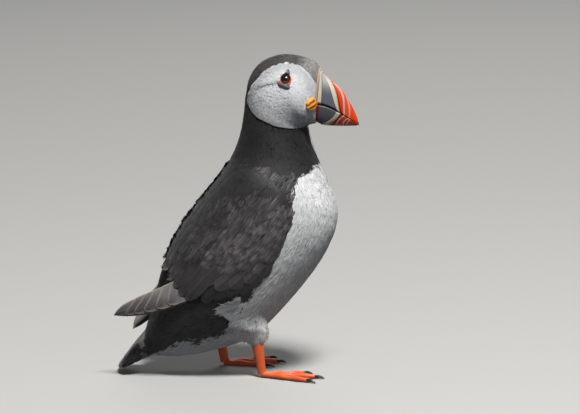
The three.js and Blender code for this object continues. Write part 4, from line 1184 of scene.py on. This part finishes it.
eye_gloss = horn_material("eye", 0.25, 900, 0.02, 1.0)
eye_gloss.node_tree.nodes["Principled BSDF"].inputs["Coat Roughness"].default_value = 0.03
lid_skin = horn_material("orange eye rim", 0.5, 1600, 0.4)
plate_horn = horn_material("slate eye plate", 0.45, 900, 0.4)
for name, side in SIDES.items():
    surface = flank_point(np.array(EYE_PLACE[0]), np.array(EYE_PLACE[1]), side)
    out = outward_at(np.array(EYE_PLACE[0]), np.array(EYE_PLACE[1]), side)
    across = unit(np.cross([0, 0, 1], out))
    upright = np.cross(out, across)
    tilt, turn = np.meshgrid(np.radians(np.concatenate([np.linspace(0.8, 60, 60), np.linspace(64, 179, 24)])),
                             np.linspace(0, math.tau, 72, endpoint=False), indexing="ij")
    swell = EYE_RADIUS * (1 + 0.02 * smooth(1 - tilt / 0.5))
    ball = (surface - EYE_SUNK * out + swell[..., None] * (
        np.cos(tilt)[..., None] * out
        + np.sin(tilt)[..., None] * (np.cos(turn)[..., None] * across + np.sin(turn)[..., None] * upright)))
    points, faces = wrapped(ball)
    off_axis = np.degrees(np.arccos(np.clip(dot(unit(points - (surface - EYE_SUNK * out)), out), -1, 1)))
    shades = mixed(mixed(PUPIL, IRIS, smooth((off_axis - 16) / 3)), EYE_EDGE, smooth((off_axis - 31) / 4))
    made(f"eyeball_{name}", (points, faces), eye_gloss, shades, "eye", f"eye_{name}")

    edge = rounded(RIM_OUTLINE, 120)
    turn = np.linspace(0, math.tau, 120, endpoint=False)
    heading = np.arctan2(edge[:, 1], edge[:, 0])
    inner = np.stack([np.cos(heading) * 3.2, np.sin(heading) * 3.3], -1)
    share = np.array([0, 0, 0.1, 0.25, 0.45, 0.65, 0.82, 0.94, 1.0, 1.0])
    lift = np.array([-1.2, -0.1, 0.18, 0.34, 0.4, 0.36, 0.25, 0.1, -0.2, -1.2])
    beads = 0.07 * np.sin(turn * 38)[:, None] * np.sin(math.pi * share)
    drawn = inner[:, None] + (edge - inner)[:, None] * share[:, None]
    rings = flank_point(EYE_PLACE[0] + drawn[..., 0], EYE_PLACE[1] + drawn[..., 1], side, lift + beads)
    warm = mixed(np.array([0.28, 0.018, 0.010]), np.array([0.78, 0.085, 0.018]),
                 np.tile(smooth(share * 2.2), 120))
    made(f"eye_rim_{name}", hoop(rings), lid_skin, warm, "eye_horn")

    turn = np.linspace(0, math.tau, 96, endpoint=False)
    lower = np.stack([4.5 * np.cos(turn), 1.15 * np.sin(turn) - 0.35 * np.cos(turn)**2], -1)
    c, s = math.cos(0.3), math.sin(0.3)
    lower = lower @ np.array([[c, -s], [s, c]]) + [-0.8, -4.35]
    for which, outline, middle, height in [("upper", rounded(UPPER_PLATE, 96), np.array([1.0, 4.3]), 0.75),
                                           ("lower", lower, np.array([-0.8, -4.5]), 0.85)]:
        form = button(outline, middle, side, height, np.array(EYE_PLACE))
        made(f"eye_plate_{which}_{name}_horn", form, plate_horn,
             np.tile([0.075, 0.083, 0.097], (len(form[0]), 1)), "eye_horn", f"eye_plate_{which}_{name}")

# ---------------------------------------------------------------- gape rosettes
# A fleshy yellow-orange rosette swells over each corner of the gape, folded into wrinkles.
rosette_skin = horn_material("rosette skin", 0.5, 1300, 0.5)
for name, side in SIDES.items():
    place = np.array(ROSETTE_PLACE)
    out = outward_at(*place, side)
    ahead = unit(np.cross([0, 0, 1], out))
    ahead = ahead * np.sign(ahead[0])
    upright = unit(np.array([0, 0, 1.0]) - out[2] * out)
    tilt, turn = np.meshgrid(np.radians(np.linspace(0.5, 178, 110)),
                             np.linspace(0, math.tau, 144, endpoint=False), indexing="ij")
    u, v = np.sin(tilt) * np.cos(turn), np.sin(tilt) * np.sin(turn)
    along_fold = v * 0.82 - u * 0.57
    folds = np.cos(along_fold * 9.5 + 0.8 * np.sin(u * 4)) * np.clip(1.1 - (u**2 + v**2), 0, 1)
    rim_wave = 0.1 * np.sin(5 * turn + 0.7) + 0.06 * np.sin(9 * turn)
    flat = 4.6 * (1 + rim_wave * 0.5)
    high = 1.9 * np.cos(tilt) * (1 + 0.3 * np.sin(tilt)**6) + 0.34 * folds * (np.cos(tilt) > 0)
    centre = flank_point(*place, side, 0.1)
    rings = (centre + (u * flat)[..., None] * ahead + (v * flat)[..., None] * upright + high[..., None] * out)
    # Painted shade: the rosette is darker orange in the valleys of its folds and yellower on their crests.
    fold_shade_share = np.append(((folds + 1) / 2).ravel(), [0.5, 0.5])
    outer = np.append(((u**2 + v**2) > 0.62).ravel(), [False, False])
    tone = mixed(np.array([0.46, 0.11, 0.008]), np.array([0.86, 0.33, 0.022]), smooth(fold_shade_share * 1.25 - 0.1))
    made(f"rosette_{name}", wrapped(rings), rosette_skin, np.where(outer[:, None], [0.84, 0.36, 0.03], tone),
         "gape_skin", f"gape_rosette_{name}")

# ---------------------------------------------------------------- bill
# The summer bill is deep, narrow and horny. A cream band rises at its base, then come the slate
# plate, a cream ridge, and the orange-red tip with pale curved grooves. The mandibles meet at the gape.
CULMEN = np.array([(60.5, 213.3), (64.6, 208.4), (73.9, 200.9), (80.9, 190.6), (85.4, 181.3), (87.2, 174.8)])
GAPE = np.array([(58.9, 190.9), (65, 189.6), (71.6, 186.5), (77, 183), (82, 179.8), (86.5, 176.4)])
LOWER_EDGE = np.array([(57.6, 177.2), (61.3, 175.4), (69.3, 175.0), (77.3, 175.1), (84.9, 175.6)])
BILL_HALF_WIDTHS = np.array([[8.4], [7.6], [6.1], [4.6], [2.9], [0.7]])
# Bands in side view as (x, z): each is a bent line through three or four places.
UPPER_BANDS = dict(
    cream=[(61.2, 208.9), (61.8, 201.3), (61.5, 192.1)],
    slate=[(63.5, 209), (66.9, 202.5), (69.4, 195.3), (71.9, 187.8)],
    ridge=[(65.3, 208.4), (69.9, 202.4), (72.4, 195.2), (74, 186.4)],
    groove_one=[(70.7, 203.8), (74.9, 198.6), (76.8, 192.4), (77.4, 183.6)],
    groove_two=[(76.3, 198.5), (79.5, 192.1), (80.6, 182.1)])
LOWER_BANDS = dict(
    base=[(60.3, 188.4), (59.6, 183.9), (59.0, 177)],
    slate=[(72.2, 186), (70.0, 182.2), (66.1, 178.7), (62, 176.6)],
    ridge=[(74.3, 184.6), (71.3, 180.2), (67.3, 177.1), (64, 175)],
    second=[(77.2, 183), (74.0, 180.2), (71.6, 177.2), (70, 174)],
    third=[(80.2, 181), (77.2, 178.8), (76.1, 177.0), (75, 174)])
ORANGE, DEEP_RED = np.array([0.74, 0.06, 0.005]), np.array([0.20, 0.014, 0.006])
CREAM, BUFF = np.array([0.62, 0.54, 0.42]), np.array([0.56, 0.37, 0.23])
LILAC, NEAR_BLACK = np.array([0.60, 0.40, 0.37]), np.array([0.02, 0.016, 0.016])


def bill_share(height):
    """Half the bill's width from its cutting edge (0) to its ridge (1): nearly flat sides and a
    narrow rounded ridge."""
    return (1 - 0.45 * height**1.6) * np.sqrt(1 - height**7) * 0.94 + 0.06


def past(band, x, z):
    """How far ahead of a band a place lies. The band's x is a cubic of z through its places."""
    places = np.array(band)
    return x - np.polyval(np.polyfit(places[:, 1] - 190, places[:, 0], len(places) - 1), np.clip(
        z, places[:, 1].min() - 1.5, places[:, 1].max() + 1.5) - 190)


def hump(distance, width):
    """A rounded ridge: one in the middle and nought at its width to either side."""
    return np.clip(1 - (distance / width)**2, 0, 1)**1.5


def blended(colours, colour, share):
    """The colour laid over others by a share."""
    return mixed(colours, colour, np.clip(share, 0, 1))


def both_faces(colours):
    """The colours of one face again for the other, and for the two middles that close the form."""
    shades = np.concatenate([colours, colours[:, ::-1]], 1).reshape(-1, 3)
    return np.vstack([shades, shades[:1], shades[-1:]])


def upper_finish(x, z):
    """Relief and colour of the upper mandible at a place of its side view."""
    cream, slate, ridge = (past(UPPER_BANDS[name], x, z) for name in ("cream", "slate", "ridge"))
    one, two = past(UPPER_BANDS["groove_one"], x, z), past(UPPER_BANDS["groove_two"], x, z)
    relief = 0.55 * smooth(0.5 - cream / 0.5) - 0.12 * hump(cream - 0.45, 0.5)
    relief += 0.5 * smooth((slate + 0.2) / 0.5) * smooth(0.5 - ridge / 0.5) - 0.2 * hump(ridge - 0.6, 0.7)
    relief += (-0.32 * hump(one, 0.8) - 0.22 * hump(two, 0.7) + 0.14 * hump(one - 1.5, 1.1)
               + 0.1 * hump(two - 1.4, 1))
    # Painted highlight: the slate plate is painted pale grey toward the top, where the bill turns up toward the
    # ridge.
    plate = mixed(np.array([0.11, 0.12, 0.145]), np.array([0.42, 0.40, 0.39]), smooth((z - 197) / 13))
    colour = blended(plate, CREAM, smooth(slate / 0.35 + 0.5))
    colour = blended(colour, BUFF, smooth((ridge + 0.9) / 0.6) * 0.6)
    colour = blended(colour, DEEP_RED, smooth(ridge / 0.3 + 0.5))
    colour = blended(colour, ORANGE, smooth((ridge - np.interp(z, [186, 203], [1.5, 0.35])) / 0.4 + 0.5))
    colour = blended(colour, LILAC, hump(one, 0.75) * 1.5)
    colour = blended(colour, LILAC, hump(two, 0.6) * np.interp(z, [182, 194, 199], [0.9, 0.75, 0.2]))
    colour = blended(colour, ORANGE * [0.8, 0.6, 0.6], hump(one + 1.3, 0.8) * 0.7 * smooth(ridge / 0.3))
    colour = blended(colour, CREAM, smooth(0.5 - cream / 0.35))
    # Painted shade: a thin dark line in the groove along the front edge of the cream band.
    colour = blended(colour, NEAR_BLACK, hump(cream - 0.42, 0.42) * 0.3)
    return relief, blended(colour, NEAR_BLACK, smooth((x - 85.6) / 0.8 + 0.2) * smooth((179 - z) / 2))


def lower_finish(x, z):
    """Relief and colour of the lower mandible at a place of its side view."""
    base, slate, ridge = (past(LOWER_BANDS[name], x, z) for name in ("base", "slate", "ridge"))
    second, third = past(LOWER_BANDS["second"], x, z), past(LOWER_BANDS["third"], x, z)
    relief = 0.25 * smooth(0.5 - base / 0.5) + 0.42 * smooth((slate + 0.2) / 0.5) * smooth(0.5 - ridge / 0.5)
    relief += 0.3 * hump(second, 0.8) + 0.26 * hump(third, 0.9) + 0.2 * hump(third - 2.6, 0.8)
    colour = blended(np.tile([0.10, 0.105, 0.12], (*x.shape, 1)), CREAM * 0.75, smooth((177.2 - z) / 1.4) * 0.8)
    colour = blended(colour, CREAM, smooth(slate / 0.35 + 0.5))
    colour = blended(colour, DEEP_RED, smooth(ridge / 0.3 + 0.5))
    colour = blended(colour, CREAM * [1, 0.8, 0.75], hump(second, 0.75) * 1.6)
    colour = blended(colour, ORANGE * 0.8, smooth((second - 0.5) / 0.4 + 0.5))
    colour = blended(colour, LILAC, hump(third, 0.85) * 1.5)
    colour = blended(colour, LILAC * 0.85, hump(third - 2.6, 0.7) * 1.2)
    colour = blended(colour, DEEP_RED, smooth(0.5 - base / 0.35))
    return relief, colour


bill_horn = horn_material("bill horn", 0.48, 420, 0.12, 0.05)
bill_horn.node_tree.nodes["Principled BSDF"].inputs["Specular IOR Level"].default_value = 0.25
for name, ridge, finish, gap in [("upper", CULMEN, upper_finish, 0.14),
                                 ("lower", LOWER_EDGE, lower_finish, -0.14)]:
    heights = 1 - (1 - np.linspace(0, 1, 56))**1.6
    along, height = np.meshgrid(np.linspace(0, 1, 230), heights, indexing="ij")
    edge = rail(GAPE, along * (len(GAPE) - 1)) + [0, gap]
    side_place = edge + (rail(ridge, along * (len(ridge) - 1)) - edge) * height[..., None]
    relief, colour = finish(side_place[..., 0], side_place[..., 1])
    tuck = smooth(height / 0.06) * 0.25 + 0.75
    fade = smooth((1 - height) / 0.08)
    half = rail(BILL_HALF_WIDTHS, along * 5)[..., 0] * bill_share(height) * tuck + relief * fade
    half = np.maximum(half - 0.35, 0.04)
    cheeks = [np.stack([side_place[..., 0], sign * half, side_place[..., 1]], -1) for sign in (1, -1)]
    rings = np.concatenate([cheeks[0], cheeks[1][:, ::-1]], 1)
    made(f"bill_{name}_horn", wrapped(turned(rings, -HEAD_TURN) + FRAME_SHIFT), bill_horn,
         both_faces(colour), "bill_horn", f"bill_{name}")

# A fleshy buff band of bare skin joins the base of the upper bill to the forehead.
turn, across = np.meshgrid(np.linspace(-CERE_TURN, CERE_TURN, 160), np.linspace(0, 1, 14), indexing="ij")
place = BILL_BASE - cere_width(turn) * (1 - across)
taper = smooth((CERE_TURN - np.abs(turn)) / 0.25)
swell = 0.15 + 0.55 * np.sqrt(np.clip(1 - (1 - across)**4, 0, 1)) - 1.1 * smooth((across - 0.5) / 0.5)**2
swell = swell * taper - 0.3
upper_face = body_point(place, turn, swell)
lower_face = body_point(place, turn, -1.6)
tones = mixed(BUFF * [1.0, 0.92, 0.85], CREAM, smooth((across - 0.3) / 0.3))
made("bill_base_skin", wrapped(np.concatenate([upper_face, lower_face[:, ::-1]], 1)), bill_horn,
     both_faces(tones), "bill_horn")

# ---------------------------------------------------------------- feet
# Orange-red webbed feet with three toes forward, and short flattened shanks. The scaly skin of shank,
# toes and webs is one piece on each side, and the claws are separate horn.
TOE_OUT = math.radians(8)
TOES = dict(inner=(30, math.radians(24), 2.3), middle=(37, 0.0, 2.5), outer=(36, math.radians(-22), 2.3))
TOE_GIRTHS = np.array([1, 0.8, 0.92, 0.72, 0.84, 0.62])
WEB_REACH, WEB_NOTCH, WEB_THICKNESS = 0.97, 0.8, 0.9
CLAW_HEIGHTS = np.array([1.4, 1.5, 1.7, 1.1, 0.45])
CLAW_RADII = np.array([[1.0], [1.25], [1.12], [0.75], [0.2]])


def toe_place(toe, side, share, height):
    """A point along a toe in the foot's own frame, whose heel is the origin."""
    length, spread, _ = toe
    return np.stack(np.broadcast_arrays(length * share * math.cos(spread),
                                        -side * length * share * math.sin(spread), height), -1)


def set_down(points, leg):
    """Points of the foot's own frame, turned out and set at its heel."""
    angle = leg["side"] * TOE_OUT
    x, y = points[..., 0], points[..., 1]
    return np.stack([x * math.cos(angle) - y * math.sin(angle) + leg["heel"],
                     x * math.sin(angle) + y * math.cos(angle) + leg["side"] * LEG_SPREAD,
                     points[..., 2]], -1) + FRAME_SHIFT


def web(one, other, side):
    """A thin web between two toes, from the heel to a hollow front edge, thicker beside the toes."""
    tips = [toe_place(toe, side, WEB_REACH, 0.0)[:2] for toe in (one, other)]
    notch = (tips[0] + tips[1]) / 2 * WEB_NOTCH
    share = np.linspace(0, 1, 40)[:, None]
    edge = tips[0] * (1 - share)**2 + notch * 2 * share * (1 - share) + tips[1] * share**2
    out = np.linspace(0.04, 1, 40)
    flat = edge[:, None] * out[None, :, None]
    top = WEB_THICKNESS * (0.82 + 0.35 * (2 * share - 1)**4) * (1 - 0.35 * out[None]**6)
    lower = np.concatenate([flat, np.full((40, 40, 1), -0.3)], -1)
    upper = np.concatenate([flat, (top + 0 * out)[..., None]], -1)
    return wrapped(np.concatenate([upper, lower[:, ::-1]], 1))


foot_skin = horn_material("foot skin", 0.42, 1000, 0.35, 0.1)
scales = added(foot_skin, "TexVoronoi", Scale=850)
scales.feature = "DISTANCE_TO_EDGE"
crease = added(foot_skin, "Bump", Strength=0.6, Distance=0.00025)
foot_nodes = foot_skin.node_tree.nodes
wired(foot_skin, (foot_nodes["Texture Coordinate"], "Object", scales, "Vector"),
      (scales, "Distance", crease, "Height"), (foot_nodes["Bump"], "Normal", crease, "Normal"),
      (crease, "Normal", foot_nodes["Principled BSDF"], "Normal"))
claw_horn = horn_material("claw horn", 0.35, 700, 0.1, 0.2)
FOOT_ORANGE, FOOT_DEEP = np.array([0.78, 0.125, 0.028]), np.array([0.52, 0.06, 0.014])
for name, leg in LEGS.items():
    side = leg["side"]
    (knee_x, knee_z), (ankle_x, ankle_z) = [(x - leg["heel"], z) for x, z in leg["joints"][1:]]
    shank = [((ankle_x + knee_x) / 2, 0, (ankle_z + knee_z) / 2), (ankle_x, 0, ankle_z),
             (ankle_x / 2, 0, ankle_z / 2 + 1), (0, 0, 2.2)]
    shank_radii = np.array([[4.2], [3.9], [3.3], [3.0]])
    forms = [wrapped(around(60, 40, lambda u, turn: limb_point(shank, shank_radii, u, turn, 0.74)))]
    for toe in TOES.values():
        radii = TOE_GIRTHS * toe[2]
        joints = toe_place(toe, side, np.linspace(0, 1, 6), radii * 0.86)
        forms.append(wrapped(around(90, 28, lambda u, turn: limb_point(joints, radii[:, None], u, turn))))
    forms += [web(TOES["inner"], TOES["middle"], side), web(TOES["middle"], TOES["outer"], side)]
    points, faces = joined(forms)
    foot = remeshed(f"foot_skin_{name}", (set_down(points, leg), faces), 0.38, 3, foot_skin)
    points = points_of(foot)
    points[:, 2] = np.maximum(points[:, 2], 0)
    foot.data.vertices.foreach_set("co", (points * 0.001).astype(np.float32).ravel())
    painted(foot, mixed(FOOT_DEEP, FOOT_ORANGE, smooth((points[:, 2] - 0.4) / 1.8)))
    fixed(foot, "foot_skin", f"foot_{name}", f"shank_{name}")
    for which, toe in TOES.items():
        start, reach = 1 + 0.3 / toe[0], 6.5 / toe[0]
        joints = toe_place(toe, side, start + reach * np.array([-0.12, 0, 0.4, 0.75, 1]), CLAW_HEIGHTS)
        rings = around(48, 20, lambda u, turn: limb_point(joints, CLAW_RADII, u, turn))
        points, faces = wrapped(set_down(rings, leg))
        points[:, 2] = np.maximum(points[:, 2], 0)
        share = np.append(np.repeat(np.linspace(0, 1, 48), 20), [0, 1])
        tones = mixed(np.array([0.012, 0.010, 0.009]), np.array([0.16, 0.13, 0.1]), smooth(share * 1.4 - 0.5))
        made(f"claw_{which}_{name}_horn", (points, faces), claw_horn, tones, "claw_horn",
             f"claw_{which}_{name}")

# ---------------------------------------------------------------- floor, light and camera
# A plain pale floor. The main light stands high in front of the bird's right side, with a weak
# one beside the camera and one behind the bird that edges its back.
floor_size = 6.0
bpy.ops.mesh.primitive_plane_add(size=floor_size, location=(0, 0, 0))
floor = bpy.context.object
floor.name = "floor"
pale = bpy.data.materials.new("pale floor")
pale.use_nodes = True
pale.node_tree.nodes["Principled BSDF"].inputs["Base Color"].default_value = (0.5, 0.49, 0.465, 1)
pale.node_tree.nodes["Principled BSDF"].inputs["Roughness"].default_value = 0.9
floor.data.materials.append(pale)
floor.visible_diffuse = False  # the floor throws no light back up under the bird

for name, place, size, power in [("key", (0.45, -1.05, 2.4), 0.6, 88), ("fill", (1.6, -1.8, 0.9), 1.6, 2),
                                 ("rim", (0.3, 1.9, 1.5), 1.2, 10)]:
    lamp = bpy.data.lights.new(name, "AREA")
    lamp.size, lamp.energy = size, power
    light = bpy.data.objects.new(name, lamp)
    light.location = place
    light.rotation_euler = (Vector((0, 0, 0.12)) - Vector(place)).to_track_quat("-Z", "Y").to_euler()
    bpy.context.scene.collection.objects.link(light)
bpy.context.scene.view_settings.view_transform = "Standard"
world = bpy.data.worlds.new("studio")
bpy.context.scene.world = world
world.use_nodes = True
world.node_tree.nodes["Background"].inputs["Color"].default_value = (0.86, 0.92, 1, 1)
world.node_tree.nodes["Background"].inputs["Strength"].default_value = 0.11

CAMERA_PLACE, CAMERA_TARGET = Vector((0.0376, -3.939, 0.811)), Vector((0.0376, 0, 0.1164))
lens_mm, sensor_mm = 357, 36
camera = bpy.data.objects.new("camera", bpy.data.cameras.new("camera"))
camera.data.lens, camera.data.sensor_width = lens_mm, sensor_mm
camera.location = CAMERA_PLACE
camera.rotation_euler = (CAMERA_TARGET - CAMERA_PLACE).to_track_quat("-Z", "Y").to_euler()
bpy.context.scene.collection.objects.link(camera)
bpy.context.scene.camera = camera
